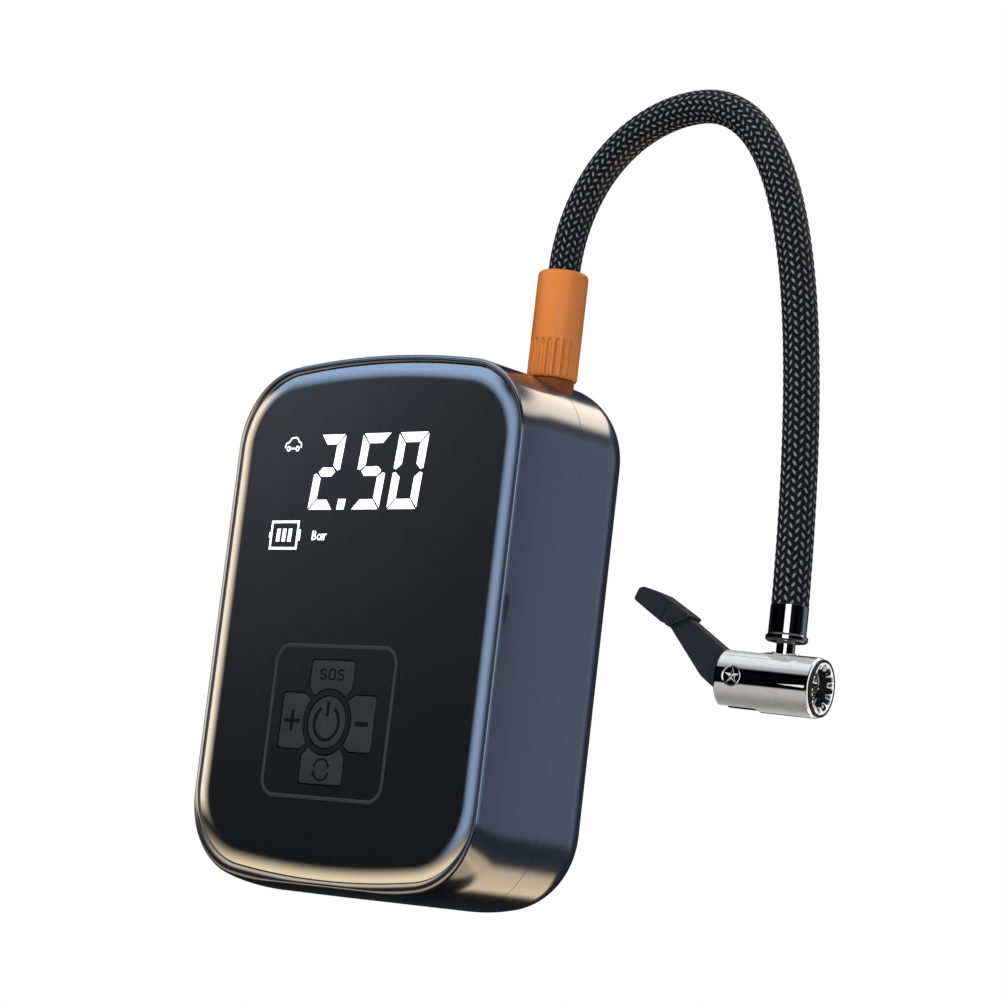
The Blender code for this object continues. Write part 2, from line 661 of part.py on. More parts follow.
MOTOR_SCREWS = (  # (y, z)
    (AXIS_Y - MOTOR_SCREW_OFFSET, MOTOR_Z),
    (AXIS_Y + MOTOR_SCREW_OFFSET, MOTOR_Z),
)
BALL_Z, VALVE_BALL_R = 78.85, 1.9
SPRING_R, SPRING_WIRE_R, SPRING_TURNS, SPRING_TOP = 2.2, 0.3, 2.5, 85.2
SEAL_PROFILE = [  # (radius, height from the piston's centre)
    (9.3, -0.7), (9.4, 0.1), (9.3, 0.9), (8.3, 0.9), (8.3, -0.7),
]
PASSAGE_PROFILE = [  # (radius, z): inlet from the cylinder, cone seat, valve chamber
    (0, 70.0), (1.2, 70.0), (1.2, 77.0), (3.2, 77.5), (3.2, 85.4), (0, 85.4),
]
HEAD_SCREW_PROFILE = [  # (radius, z)
    (0, 50.6), (1.25, 50.6), (1.25, 80.3), (2.4, 80.3), (2.4, 81.8), (1.9, 82.2), (0, 82.2),
]
MOTOR_SCREW_PROFILE = [  # (radius, x)
    (0, 6.2), (1.25, 6.2), (1.25, 8.8), (2.2, 8.8), (2.2, 9.7), (1.7, 9.9), (0, 9.9),
]


def build_pump_frame():
    """Angle bracket: an upright plate for the motor and a shelf for the cylinder."""
    left, right = PLATE_X
    low, high = SHELF_Z
    outline = [
        (left, PLATE_BOTTOM), (right, PLATE_BOTTOM), (right, low),
        (SHELF_RIGHT, low), (SHELF_RIGHT, high), (left, high),
    ]
    shape = prism(outline, "y", AXIS_Y - FRAME_HALF_DEPTH, AXIS_Y + FRAME_HALF_DEPTH)
    frame = piece("pump_frame", "aluminium", shape)
    openings = rod(4.2, *PLATE_CUT_X, "x", MOTOR_AXIS, 20)
    openings += rod(10.2, *SHELF_CUT_Z, "z", CYLINDER_AXIS, 24)
    openings += rod(SHAFT_R + GAP, *PLATE_CUT_X, "x", CRANK_AXIS, 16)
    cut(frame, "openings", openings)
    holes = rods(CLEARANCE_R, *SHELF_CUT_Z, "z", HEAD_SCREWS, 10)
    holes += rods(CLEARANCE_R, *PLATE_CUT_X, "x", MOTOR_SCREWS, 10)
    cut(frame, "screw_holes", holes)


def build_cylinder():
    profile = [(CYLINDER_R, CYLINDER_BOTTOM)]
    for k in range(3):
        z = CYLINDER_BOTTOM + FIN_PITCH * k
        profile += [
            (CYLINDER_R, z + 2.6), (FIN_ROOT_R, z + 2.9),
            (FIN_ROOT_R, z + 4.9), (CYLINDER_R, z + 5.2),
        ]
    profile += [(CYLINDER_R, CYLINDER_TOP), (BORE_R, CYLINDER_TOP), (BORE_R, CYLINDER_BOTTOM)]
    piece("pump_cylinder", "aluminium", lathe(profile, "z", CYLINDER_AXIS, 20))


def connecting_rod():
    """Flat connecting rod: a round big end below a straight shank."""
    span = math.pi - math.asin(SHANK_HALF_WIDTH / BIG_END_R)
    low = CRANK_PIN_AXIS[1]
    outline = []
    for k in range(15):
        angle = -span + 2 * span * k / 14
        y = AXIS_Y + BIG_END_R * math.sin(angle)
        outline.append((y, low - BIG_END_R * math.cos(angle)))
    top = PISTON_Z - 1.8
    outline += [(AXIS_Y + SHANK_HALF_WIDTH, top), (AXIS_Y - SHANK_HALF_WIDTH, top)]
    return prism(outline, "x", ROD_X - SHANK_HALF_THICKNESS, ROD_X + SHANK_HALF_THICKNESS)


def build_piston():
    """Piston and connecting rod in one piece, with a seal in the piston's groove."""
    stations = [  # (radius, height from the piston's centre)
        (0, -2.5), (PISTON_R, -2.5), (PISTON_R, -1.0), (PISTON_GROOVE_R, -1.0),
        (PISTON_GROOVE_R, 1.2), (PISTON_R, 1.2), (PISTON_R, 2.5), (0, 2.5),
    ]
    centre = (*CYLINDER_AXIS, PISTON_Z)
    profile = [(radius, PISTON_Z + height) for radius, height in stations]
    piston = piece("piston_rod", "aluminium", lathe(profile, "z", CYLINDER_AXIS, 20), centre)
    join(piston, "shank", connecting_rod())
    cut(piston, "big_end", rod(SHAFT_R + GAP, ROD_X - 4, ROD_X + 4, "x", CRANK_PIN_AXIS, 20))
    profile = [(radius, PISTON_Z + height) for radius, height in SEAL_PROFILE]
    piece("piston_seal", "rubber", lathe(profile, "z", CYLINDER_AXIS, 20), centre)


def build_cylinder_head():
    wide, deep = HEAD_HALF_WIDTH, FRAME_HALF_DEPTH
    offsets = [  # (x, y) from the cylinder's axis, with two opposite corners cut off
        (-wide, 2 - wide), (2 - wide, -deep), (wide, -deep),
        (wide, wide - 2), (wide - 2, deep), (-wide, deep),
    ]
    outline = [(ROD_X + x, AXIS_Y + y) for x, y in offsets]
    head = piece("cylinder_head", "aluminium", prism(outline, "z", *HEAD_Z))
    nipple_axis = (AXIS_Y, NIPPLE_Z)
    join(head, "boss", rod(5.0, HEAD_Z[1] - 1, 88.0, "z", CYLINDER_AXIS, 20))
    join(head, "nipple", rod(1.9, ROD_X + 4.0, NIPPLE_X, "x", nipple_axis, 16))
    passages = lathe(PASSAGE_PROFILE, "z", CYLINDER_AXIS, 16)
    cut(head, "passages", passages + rods(CLEARANCE_R, 70.0, 82.0, "z", HEAD_SCREWS, 10))
    cut(head, "outlet", rod(1.0, ROD_X, NIPPLE_X + 2, "x", nipple_axis, 10))


def build_valve_ball():
    centre = (*CYLINDER_AXIS, BALL_Z)
    mesh = bmesh.new()
    bmesh.ops.create_icosphere(
        mesh, subdivisions=2, radius=VALVE_BALL_R, matrix=Matrix.Translation(centre)
    )
    apply_finish(link_object("valve_ball", mesh, centre), "steel")


def build_valve_spring():
    steps_per_turn, sides = 10, 5
    low, high = BALL_Z + 2.0, SPRING_TOP
    count = int(SPRING_TURNS * steps_per_turn)
    rings = []
    for k in range(count + 1):
        angle = 2 * math.pi * k / steps_per_turn
        middle = low + SPRING_WIRE_R + (high - low - 2 * SPRING_WIRE_R) * k / count
        ring = []
        for out, up in circle(SPRING_WIRE_R, sides):
            x = ROD_X + (SPRING_R + out) * math.cos(angle)
            y = AXIS_Y + (SPRING_R + out) * math.sin(angle)
            ring.append((x, y, middle + up))
        rings.append(ring)
    piece("valve_spring", "steel", loft(rings))


def build_pump_screws():
    screws("head_screw", HEAD_SCREW_PROFILE, "z", HEAD_SCREWS)
    screws("motor_screw", MOTOR_SCREW_PROFILE, "x", MOTOR_SCREWS)


# ---------------------------------------------------------------- outlet and air path
SOCKET_BOTTOM, SOCKET_TOP, BARB_Z = 104.0, 119.8, 107.0
SOCKET_PROFILE = [  # (radius, z)
    (6.1, 113.0), (6.1, 117.0), (6.2, 117.0), (6.2, SOCKET_TOP - 0.5), (5.7, SOCKET_TOP),
    (4.0, SOCKET_TOP), (4.0, 112.0), (1.1, 111.0), (1.1, 97.0), (1.9, 97.0),
    (1.9, SOCKET_BOTTOM), (5.2, SOCKET_BOTTOM), (5.2, 113.0),
]


def build_outlet_socket():
    socket = piece("outlet_socket", "brass", lathe(SOCKET_PROFILE, "z", HOSE_AXIS, 16))
    join(socket, "side_barb", rod(1.7, 22.6, HOSE_X - 3.0, "x", (0.0, BARB_Z), 14))
    cut(socket, "side_bore", rod(0.9, 20.0, HOSE_X - 0.3, "x", (0.0, BARB_Z), 10))


def build_air_tube():
    """Leaves the head sideways, turns up through a quarter bend and runs onto the socket."""
    bend = HOSE_X - NIPPLE_X - 0.1
    path = [Vector((x, AXIS_Y, NIPPLE_Z)) for x in (ROD_X + 5.4, NIPPLE_X - 2.0)]
    for k in range(7):
        angle = math.pi / 2 * k / 6
        x = HOSE_X - bend + bend * math.sin(angle)
        z = NIPPLE_Z + bend * (1 - math.cos(angle))
        path.append(Vector((x, AXIS_Y - 0.6 * angle, z)))
    path += [Vector((HOSE_X, y, z)) for y, z in ((0.6, 94.0), (0.0, 97.5), (0.0, 103.6))]
    piece("air_tube", "silicone", sweep(path, (3.4, 3.4), 2.3, 10))


def build_sensor_tube():
    """From the socket's side barb, over and down onto the pressure sensor."""
    start = [Vector((x, 0, BARB_Z)) for x in (28.6, 26.0)]
    turn = [Vector((x, 0, z)) for x, z in ((23.0, BARB_Z), (17.0, BARB_Z), (14.0, 104.0), (14.0, 97.0))]
    path = start + [bezier(turn, k / 4) for k in range(5)] + [Vector((14.0, 0, 92.0))]
    piece("sensor_tube", "silicone", sweep(path, (2.8, 2.8), 2.1, 8))


# ---------------------------------------------------------------- hose
NUT_R, NUT_BORE_R, NUT_THROAT_R, FLUTES, FLUTE_DEPTH = 6.1, 4.3, 4.95, 20, 0.4
HOSE_START_Z, NUT_EXIT_Z = 136.5, 152.9
HOSE_R_TOP, HOSE_R_JOINT, HOSE_R_END, HOSE_BORE_R = 3.85, 3.95, 4.15, 2.4
APEX = (71.9, 192.0)  # (x, z)
HOSE_END = (112.1, 74.0)  # (x, z)
HANDLES = (25.2, 18.8, 29.3, 66.2)  # Bezier handle lengths, from the nut to the end
# The upper hose ends in a cup around the domed start of the lower hose.
BEND_T, BALL_R, CUP_OFFSET = 0.56, 4.0, 5.0
NUT_ORIGIN = (HOSE_X, 0, NUT_BOTTOM)
SPIGOT_PROFILE = [  # (radius, z)
    (3.7, 113.5), (3.7, 129.4), (4.6, 129.4), (4.6, 131.5), (2.5, 131.5),
    (2.5, 124.9), (1.2, 124.5), (1.2, 113.0), (3.2, 113.0),
]
BARB_PROFILE = [  # (radius, z)
    (2.1, 125.5), (2.1, 131.9), (4.3, 131.9), (4.3, 133.5),
    (2.1, 133.5), (2.1, 148.5), (1.0, 148.5), (1.0, 125.5),
]
FERRULE_PROFILE = [  # (radius, z)
    (4.25, 74.0), (4.25, 67.4), (4.7, 67.2), (4.7, 66.3), (4.3, 66.0),
    (2.1, 66.0), (2.1, 60.9), (0.9, 60.9), (0.9, 74.0),
]


def build_spigot_and_barb():
    piece("hose_spigot", "brass", lathe(SPIGOT_PROFILE, "z", HOSE_AXIS, 16), NUT_ORIGIN)
    piece("hose_barb", "brass", lathe(BARB_PROFILE, "z", HOSE_AXIS, 12), NUT_ORIGIN)


def build_hose_nut():
    """Grip: shallow flutes around its lower part, a plain sleeve above."""
    stations = [  # (z, radius, flute depth), up the outside and down the bore
        (NUT_BOTTOM, NUT_R - 0.3, FLUTE_DEPTH), (NUT_BOTTOM + 0.4, NUT_R, FLUTE_DEPTH),
        (NUT_BOTTOM + 9.0, NUT_R, FLUTE_DEPTH), (NUT_BOTTOM + 9.5, NUT_R, 0.0),
        (NUT_TOP - 0.8, NUT_R, 0.0), (NUT_TOP, NUT_R - 0.7, 0.0),
        (NUT_TOP, NUT_BORE_R, 0.0), (NUT_BOTTOM + 8.0, NUT_BORE_R, 0.0),
        (NUT_BOTTOM + 7.6, NUT_THROAT_R, 0.0), (NUT_BOTTOM, NUT_THROAT_R, 0.0),
    ]
    rings = []
    for z, radius, depth in stations:
        ring = []
        for k, (cosine, sine) in enumerate(circle(1.0, 2 * FLUTES)):
            reach = radius - (depth if k % 2 == 0 else 0.0)
            ring.append((HOSE_X + reach * cosine, reach * sine, z))
        rings.append(ring)
    piece("hose_nut", "orange", loft(rings, looped=True), NUT_ORIGIN)


def hose_arc(*points):
    return [Vector((x, 0.0, z)) for x, z in points]


# Two cubic arcs in the XZ plane: up out of the nut to the apex, and down to the ferrule.
RISING = hose_arc(
    (HOSE_X, NUT_EXIT_Z), (HOSE_X, NUT_EXIT_Z + HANDLES[0]), (APEX[0] - HANDLES[1], APEX[1]), APEX
)
FALLING = hose_arc(
    APEX, (APEX[0] + HANDLES[2], APEX[1]), (HOSE_END[0] - 1.3, HOSE_END[1] + HANDLES[3]), HOSE_END
)
BEND = bezier(FALLING, BEND_T)
BEND_DIRECTION = (bezier(FALLING, BEND_T + 0.01) - bezier(FALLING, BEND_T - 0.01)).normalized()


def build_upper_hose():
    path = [Vector((HOSE_X, 0, HOSE_START_Z))] + [bezier(RISING, k / 9) for k in range(10)]
    path += [bezier(FALLING, BEND_T * k / 7) for k in range(1, 7)]
    path += [BEND - BEND_DIRECTION * distance for distance in (6.2, CUP_OFFSET)]
    cup = [
        (CUP_OFFSET - math.sqrt((BALL_R + GAP) ** 2 - radius * radius), radius)
        for radius in (HOSE_R_JOINT, 3.4, HOSE_BORE_R)
    ]
    shape = sweep(path, (HOSE_R_TOP, HOSE_R_JOINT), HOSE_BORE_R, 12, end_rings=cup)
    piece("hose_upper", "braid", shape, (HOSE_X, 0, NUT_EXIT_Z))


def build_lower_hose():
    path = [BEND] + [bezier(FALLING, BEND_T + (1 - BEND_T) * k / 5) for k in range(1, 5)]
    path.append(Vector((HOSE_END[0], 0, HOSE_END[1] + 0.3)))
    dome = [
        (-math.sqrt(BALL_R**2 - radius * radius), radius) for radius in (HOSE_BORE_R, 3.3, 3.8)
    ]
    shape = sweep(path, (BALL_R, HOSE_R_END), HOSE_BORE_R, 12, start_rings=dome)
    piece("hose_lower", "braid", shape, tuple(BEND))


def build_hose_ferrule():
    shape = lathe(FERRULE_PROFILE, "z", (HOSE_END[0], 0.0), 20)
    piece("hose_ferrule", "black_chrome", shape, (HOSE_END[0], 0, 66.0))


# ---------------------------------------------------------------- chuck
# The chuck is drawn in its own frame: x along its bore to the open end, y across, z up.
CHUCK = Vector((112.3, 0.0, 56.6))
YAW, PITCH = math.radians(11.0), math.radians(2.2)
ALONG = Vector(
    (math.cos(YAW) * math.cos(PITCH), math.sin(YAW) * math.cos(PITCH), -math.sin(PITCH))
)
ACROSS = Vector((-math.sin(YAW), math.cos(YAW), 0.0))
CHUCK_TURN = Matrix((ALONG, ACROSS, ALONG.cross(ACROSS))).transposed()
CHUCK_FRAME = Matrix.Translation(CHUCK) @ CHUCK_TURN.to_4x4()
CHUCK_R, CHUCK_REAR, CHUCK_FRONT = 6.7, -14.0, 8.7
PIN_X, PIN_Z = -9.5, 0.2
PIN_AXIS = (PIN_Z, PIN_X)
PIN_ORIGIN = tuple(CHUCK_FRAME @ Vector((PIN_X, 0, PIN_Z)))
LEVER_THICKNESS, PAD_HALF_WIDTH, PIN_HOLE_R = 4.7, 3.3, 1.6
CAM_R, CAM_RATE = 4.0, 1.2  # the cam's radius falls by CAM_RATE per radian
CAM_START, CAM_SWEEP, CAM_STEPS = -62, 138, 12  # degrees, degrees, steps
# Profiles in the chuck's frame, as (radius, place along the axis).
BODY_PROFILE = [
    (CHUCK_R - 0.7, CHUCK_REAR), (CHUCK_R, CHUCK_REAR + 0.7), (CHUCK_R, CHUCK_FRONT - 0.4),
    (CHUCK_R - 0.4, CHUCK_FRONT), (5.7, CHUCK_FRONT), (5.7, 2.9), (3.5, 2.9), (3.5, CHUCK_REAR),
]
PIN_HOLE_PROFILE = [
    (0, -8), (2.55, -8), (2.55, -5.5), (PIN_HOLE_R, -5.5),
    (PIN_HOLE_R, 5.5), (2.55, 5.5), (2.55, 8), (0, 8),
]
FRONT_RING_PROFILE = [
    (6.35, 9.0), (6.35, 9.5), (6.1, 9.75), (4.7, 9.75),
    (4.45, 9.5), (4.45, 6.4), (5.35, 6.4), (5.35, 9.0),
]
CHUCK_SEAL_PROFILE = [(5.3, 3.1), (5.3, 4.6), (3.6, 4.6), (2.3, 3.9), (2.3, 3.1)]
PLUNGER_PROFILE = [
    (0, -4.8), (2.8, -4.8), (3.2, -4.4), (3.2, -2.6),
    (1.2, -2.2), (1.2, 4.4), (0.9, 4.8), (0, 4.8),
]
LEVER_PIN_PROFILE = [
    (0, -6.55), (1.7, -6.5), (2.2, -6.15), (2.2, -5.8), (1.3, -5.8),
    (1.3, 5.8), (2.2, 5.8), (2.2, 6.15), (1.7, 6.5), (0, 6.55),
]
# Side-view outlines of the lever, as (along the chuck, up).
PAD_TOP = [
    (-23.9, 12.2), (-23.5, 12.9), (-31.6, 17.3), (-35.6, 18.4), (-36.9, 18.1), (-37.9, 15.4),
]
PAD_UNDERSIDE = [(-30.4, 10.9), (-28.0, 10.2)]
LEVER_UNDERSIDE = [
    (-30.4, 10.7), (-28.1, 9.8), (-19.6, 0.4), (-19.0, -0.2), (-16.3, -2.0), (-12.2, -4.0),
]


def chuck_piece(name, finish, shape, origin=tuple(CHUCK)):
    return piece(name, finish, shape, origin, CHUCK_FRAME)


def build_chuck_body():
    body = chuck_piece("chuck_body", "chrome", lathe(BODY_PROFILE, "x", count=28))
    cut(body, "lever_slot", box(CHUCK_REAR - 2, -4.2, -2.65, 2.65, -9, 9), CHUCK_FRAME)
    cut(body, "pin_hole", lathe(PIN_HOLE_PROFILE, "y", PIN_AXIS, 18), CHUCK_FRAME)
    cut(body, "inlet", rod(2.4, 58.0, 66.0, "z", (HOSE_END[0], 0.0), 16))


def build_chuck_jaws():
    """Clamping ring with eight teeth pointing in."""
    points = circle(1.0, 32)
    outer = [(5.4 * y, 5.4 * z) for y, z in points]
    inner = []
    for k, (y, z) in enumerate(points):
        radius = 3.95 if k % 4 in (0, 1) else 4.6
        inner.append((radius * y, radius * z))
    stations = ((4.9, outer), (6.2, outer), (6.2, inner), (4.9, inner))
    rings = [[(x, y, z) for y, z in outline] for x, outline in stations]
    chuck_piece("chuck_jaws", "nickel", loft(rings, looped=True))


def build_chuck_inserts():
    """Front ring, seal and plunger inside the bore, and the pin across it."""
    chuck_piece("chuck_front_ring", "rubber", lathe(FRONT_RING_PROFILE, "x", count=24))
    chuck_piece("chuck_seal", "rubber", lathe(CHUCK_SEAL_PROFILE, "x", count=20))
    chuck_piece("chuck_plunger", "brass", lathe(PLUNGER_PROFILE, "x", count=20))
    pin = lathe(LEVER_PIN_PROFILE, "y", PIN_AXIS, 14)
    chuck_piece("lever_pin", "chrome", pin, PIN_ORIGIN)


def build_chuck_lever():
    """Cam around the pin, then the upper edge, thumb pad, tip and underside."""
    outline = []
    for k in range(CAM_STEPS + 1):
        angle = math.radians(CAM_START + CAM_SWEEP * k / CAM_STEPS)
        radius = CAM_R - CAM_RATE * angle
        outline.append((PIN_X + radius * math.cos(angle), PIN_Z + radius * math.sin(angle)))
    outline += [(PIN_X - 1.6, PIN_Z + 3.2), (-14.5, 6.4)] + PAD_TOP + LEVER_UNDERSIDE
    blade = prism(outline, "y", -LEVER_THICKNESS / 2, LEVER_THICKNESS / 2)
    lever = chuck_piece("chuck_lever", "lever", blade, PIN_ORIGIN)
    pad = prism(PAD_TOP + PAD_UNDERSIDE, "y", -PAD_HALF_WIDTH, PAD_HALF_WIDTH)
    join(lever, "thumb_pad", pad, CHUCK_FRAME)
    cut(lever, "pin_hole", rod(PIN_HOLE_R, -4.0, 4.0, "y", PIN_AXIS, 18), CHUCK_FRAME)


# ---------------------------------------------------------------- assembly
for old in list(bpy.data.objects):
    bpy.data.objects.remove(old, do_unlink=True)

MATERIALS = {name: make_material(name, *values) for name, values in FINISHES.items()}

build_front_shell()
build_rear_shell()
build_front_lens()
build_housing_screws()

build_keys()
build_display()
build_pcb()
build_battery()
build_usb_port()
build_lamp_lens()
build_pressure_sensor()

build_motor_can()
build_motor_end_cap()
build_motor_rotor()
build_drive_pinion()
build_crank_gear()
build_crank_axle()

build_pump_frame()
build_cylinder()
build_piston()
build_cylinder_head()
build_valve_ball()
build_valve_spring()
build_pump_screws()

build_outlet_socket()
build_air_tube()
build_sensor_tube()

build_spigot_and_barb()
build_hose_nut()
build_upper_hose()
build_lower_hose()
build_hose_ferrule()

build_chuck_body()
build_chuck_jaws()
build_chuck_inserts()
build_chuck_lever()
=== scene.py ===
"""Portable tire inflator: an upright housing with a front panel, a braided hose and a valve chuck.

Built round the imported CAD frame, with the hose on +X, the back on +Y and up on +Z. Lengths are
millimetres unless a name or comment says otherwise, and become metres when a mesh is made.
"""

import json
import math

import bmesh
import bpy
import numpy as np
from mathutils import Matrix, Vector
from mathutils.geometry import delaunay_2d_cdt


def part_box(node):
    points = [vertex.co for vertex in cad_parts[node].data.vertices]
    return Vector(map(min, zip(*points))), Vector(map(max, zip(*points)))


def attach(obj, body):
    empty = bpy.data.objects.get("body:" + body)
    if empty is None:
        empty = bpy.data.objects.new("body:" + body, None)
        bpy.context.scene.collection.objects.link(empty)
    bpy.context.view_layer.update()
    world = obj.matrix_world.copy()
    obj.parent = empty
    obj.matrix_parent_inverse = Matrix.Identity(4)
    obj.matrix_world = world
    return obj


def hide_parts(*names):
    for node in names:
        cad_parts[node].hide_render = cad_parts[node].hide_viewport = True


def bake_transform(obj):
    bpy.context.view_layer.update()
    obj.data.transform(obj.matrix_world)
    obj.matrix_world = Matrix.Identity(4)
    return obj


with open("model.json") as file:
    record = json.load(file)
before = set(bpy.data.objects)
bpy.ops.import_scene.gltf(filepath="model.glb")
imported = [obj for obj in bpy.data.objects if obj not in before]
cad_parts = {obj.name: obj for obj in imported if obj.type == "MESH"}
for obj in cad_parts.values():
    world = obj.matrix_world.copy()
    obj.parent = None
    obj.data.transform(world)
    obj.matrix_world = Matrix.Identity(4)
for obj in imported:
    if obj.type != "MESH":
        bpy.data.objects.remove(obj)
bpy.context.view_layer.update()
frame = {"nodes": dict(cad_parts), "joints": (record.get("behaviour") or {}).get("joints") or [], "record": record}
JOINTS = {joint["name"]: joint for joint in frame["joints"]}
MM_TO_M = 0.001


def span(node):
    """Lowest and highest corners of a CAD node."""
    low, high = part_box(node)
    return low * 1000, high * 1000


# ================================================================ anchors
FRONT_LO, FRONT_HI = span("front_shell")
REAR_LO, REAR_HI = span("rear_shell")
HALF_WIDTH = FRONT_HI.x  # widest half width, past the bulge
Z_TOP, Z_BASE = REAR_HI.z, REAR_LO.z
Z_TOP_RIM, Z_BASE_RIM = FRONT_HI.z, 1.5
Y_RIM, Y_BACK, Y_SPLIT = FRONT_LO.y, REAR_HI.y, REAR_LO.y
SIDE_BULGE, BULGE_DEPTH = 1.0, 9.4
CORNER_R, BOW_R = 19.5, 240.0
BASE_FLAT, BASE_BOW_R = 20.0, 60.0
REAR_R, WALL = 11.0, 2.2

LENS_LO, LENS_HI = span("front_lens")
LENS_FRONT, LENS_BACK, LENS_R = LENS_LO.y, LENS_HI.y, 19.0
POWER_LO, POWER_HI = span("key_power")
KEY_X, KEY_Z = (POWER_LO.x + POWER_HI.x) / 2, (POWER_LO.z + POWER_HI.z) / 2
KEY_FRONT, POWER_R = POWER_LO.y, (POWER_HI.x - POWER_LO.x) / 2

NUT_LO, NUT_HI = span("hose_nut")
HOSE_X = JOINTS["nut_turn"]["pos_m"][0] * 1000
NUT_R = NUT_HI.x - HOSE_X
BEND = Vector(JOINTS["hose_bend"]["pos_m"]) * 1000
FERRULE_LO, FERRULE_HI = span("hose_ferrule")
FERRULE_X = (FERRULE_LO.x + FERRULE_HI.x) / 2

# chuck frame: x towards the nose, y along the lever pin, z out of the barrel's back
NOSE_DIR = Vector(JOINTS["plunger_push"]["axis"]).normalized()
PIN_DIR = Vector(JOINTS["lever_turn"]["axis"]).normalized()
CROWN_DIR = NOSE_DIR.cross(PIN_DIR).normalized()
CHUCK = Vector(JOINTS["lever_turn"]["pos_m"]) * 1000 + NOSE_DIR * 9.5 - CROWN_DIR * 0.2
CHUCK_AXES = Matrix((NOSE_DIR, PIN_DIR, CROWN_DIR)).transposed().to_4x4()
CHUCK_FRAME = Matrix.Translation(CHUCK) @ CHUCK_AXES


# ================================================================ shader nodes
class Tree:
    """Node tree of a material or world. An input takes a socket, a number or a tuple."""

    def __init__(self, owner):
        owner.use_nodes = True
        self.owner, self.tree = owner, owner.node_tree

    def feed(self, node, inputs):
        for key, value in inputs.items():
            socket = node.inputs[key]
            if isinstance(value, bpy.types.NodeSocket):
                self.tree.links.new(value, socket)
            elif isinstance(value, tuple) and socket.type == "RGBA":
                socket.default_value = (*value, 1.0)
            else:
                socket.default_value = value

    def node(self, kind, inputs=None, **settings):
        """Adds a node and returns its outputs."""
        made = self.tree.nodes.new("ShaderNode" + kind)
        for key, value in settings.items():
            setattr(made, key, value)
        self.feed(made, inputs or {})
        return made.outputs

    def principled(self, inputs):
        shader = self.tree.nodes["Principled BSDF"]
        self.feed(shader, inputs)
        return shader.outputs[0]

    def output(self, shader):
        self.feed(self.tree.nodes["Material Output"], {"Surface": shader})

    def math(self, operation, *values):
        return self.node("Math", dict(enumerate(values)), operation=operation)[0]

    def times(self, first, second):
        return self.math("MULTIPLY", first, second)

    def plus(self, first, second):
        return self.math("ADD", first, second)

    def vector(self, operation, *values):
        outputs = self.node("VectorMath", dict(enumerate(values)), operation=operation)
        return outputs["Value" if operation in ("DOT_PRODUCT", "LENGTH") else "Vector"]

    def mix(self, share, low, high, blend="MIX"):
        inputs = {0: share, 6: low, 7: high}
        return self.node("Mix", inputs, data_type="RGBA", blend_type=blend)[2]

    def ramp(self, value, over, to=(0.0, 1.0), kind="SMOOTHSTEP"):
        inputs = {"Value": value, "From Min": over[0], "From Max": over[1]}
        inputs.update({"To Min": to[0], "To Max": to[1]})
        return self.node("MapRange", inputs, interpolation_type=kind)["Result"]

    def coords(self):
        return self.node("TexCoord")["Object"]

    def geometry(self, output):
        return self.node("NewGeometry")[output]

    def xyz(self, vector):
        return self.node("SeparateXYZ", {0: vector})

    def noise(self, where, scale, detail=3.0, rough=0.55):
        inputs = {"Scale": scale, "Detail": detail, "Roughness": rough, "Vector": where}
        return self.node("TexNoise", inputs)["Fac"]

    def mottle(self, where, scale, detail, to=(0.0, 1.0)):
        """Noise with its middle range spread over to."""
        return self.ramp(self.noise(where, scale, detail), over=(0.3, 0.7), to=to)

    def bump(self, height, strength, distance):
        inputs = {"Strength": strength, "Distance": distance, "Height": height}
        return self.node("Bump", inputs)["Normal"]


def new_material(name):
    return Tree(bpy.data.materials.new(name))


def angles(tree, direction):
    """Azimuth (0 towards +Y, 90 towards +X) and elevation of a direction, in degrees."""
    x, y, z = tree.xyz(direction)
    degrees = 180 / math.pi
    azimuth = tree.times(tree.math("ARCTAN2", x, y), degrees)
    sine = tree.math("MINIMUM", tree.math("MAXIMUM", z, -1.0), 1.0)
    return azimuth, tree.times(tree.math("ARCSINE", sine), degrees)


# A patch of directions, in degrees: azimuth, half width, soft edge, elevation, half height,
# soft edge. A pair for the first soft edge sets it at the lower and at the higher azimuth.
def patch(tree, view, shape):
    """1 inside a patch of directions, falling to 0 over its soft edges."""
    azimuth, half, soft, elevation, half_height, soft_height = shape
    under, over = soft if isinstance(soft, tuple) else (soft, soft)
    off = tree.math("WRAP", tree.math("SUBTRACT", view[0], azimuth), 180.0, -180.0)
    across = tree.times(
        tree.ramp(off, over=(-half - under, -half)),
        tree.ramp(off, over=(half, half + over), to=(1.0, 0.0)),
    )
    lift = tree.math("ABSOLUTE", tree.math("SUBTRACT", view[1], elevation))
    edge = (half_height, half_height + soft_height)
    return tree.times(across, tree.ramp(lift, over=edge, to=(1.0, 0.0)))


# ================================================================ materials
# painted reflections of warm boards, on the panel's edge and the bead only: colour, patch
BOARDS = [
    ((1.46, 1.26, 0.94), (-73.0, 31.0, (24.0, 13.0), 9.0, 9.0, 6.0)),  # on the left
    ((1.24, 1.02, 0.68), (-120.0, 44.0, 16.0, -34.0, 11.0, 18.0)),  # low in front
]


def boards(tree, normal, strength):
    """Painted reflection: emission for the warm boards, as a surface with this normal would mirror them."""
    incoming = tree.geometry("Incoming")
    back = tree.node("VectorMath", {0: incoming, "Scale": -1.0}, operation="SCALE")[0]
    view = angles(tree, tree.vector("REFLECT", back, normal))
    lit = [tree.mix(patch(tree, view, shape), (0, 0, 0), colour) for colour, shape in BOARDS]
    return tree.node("Emission", {"Color": tree.vector("ADD", *lit), "Strength": strength})[0]


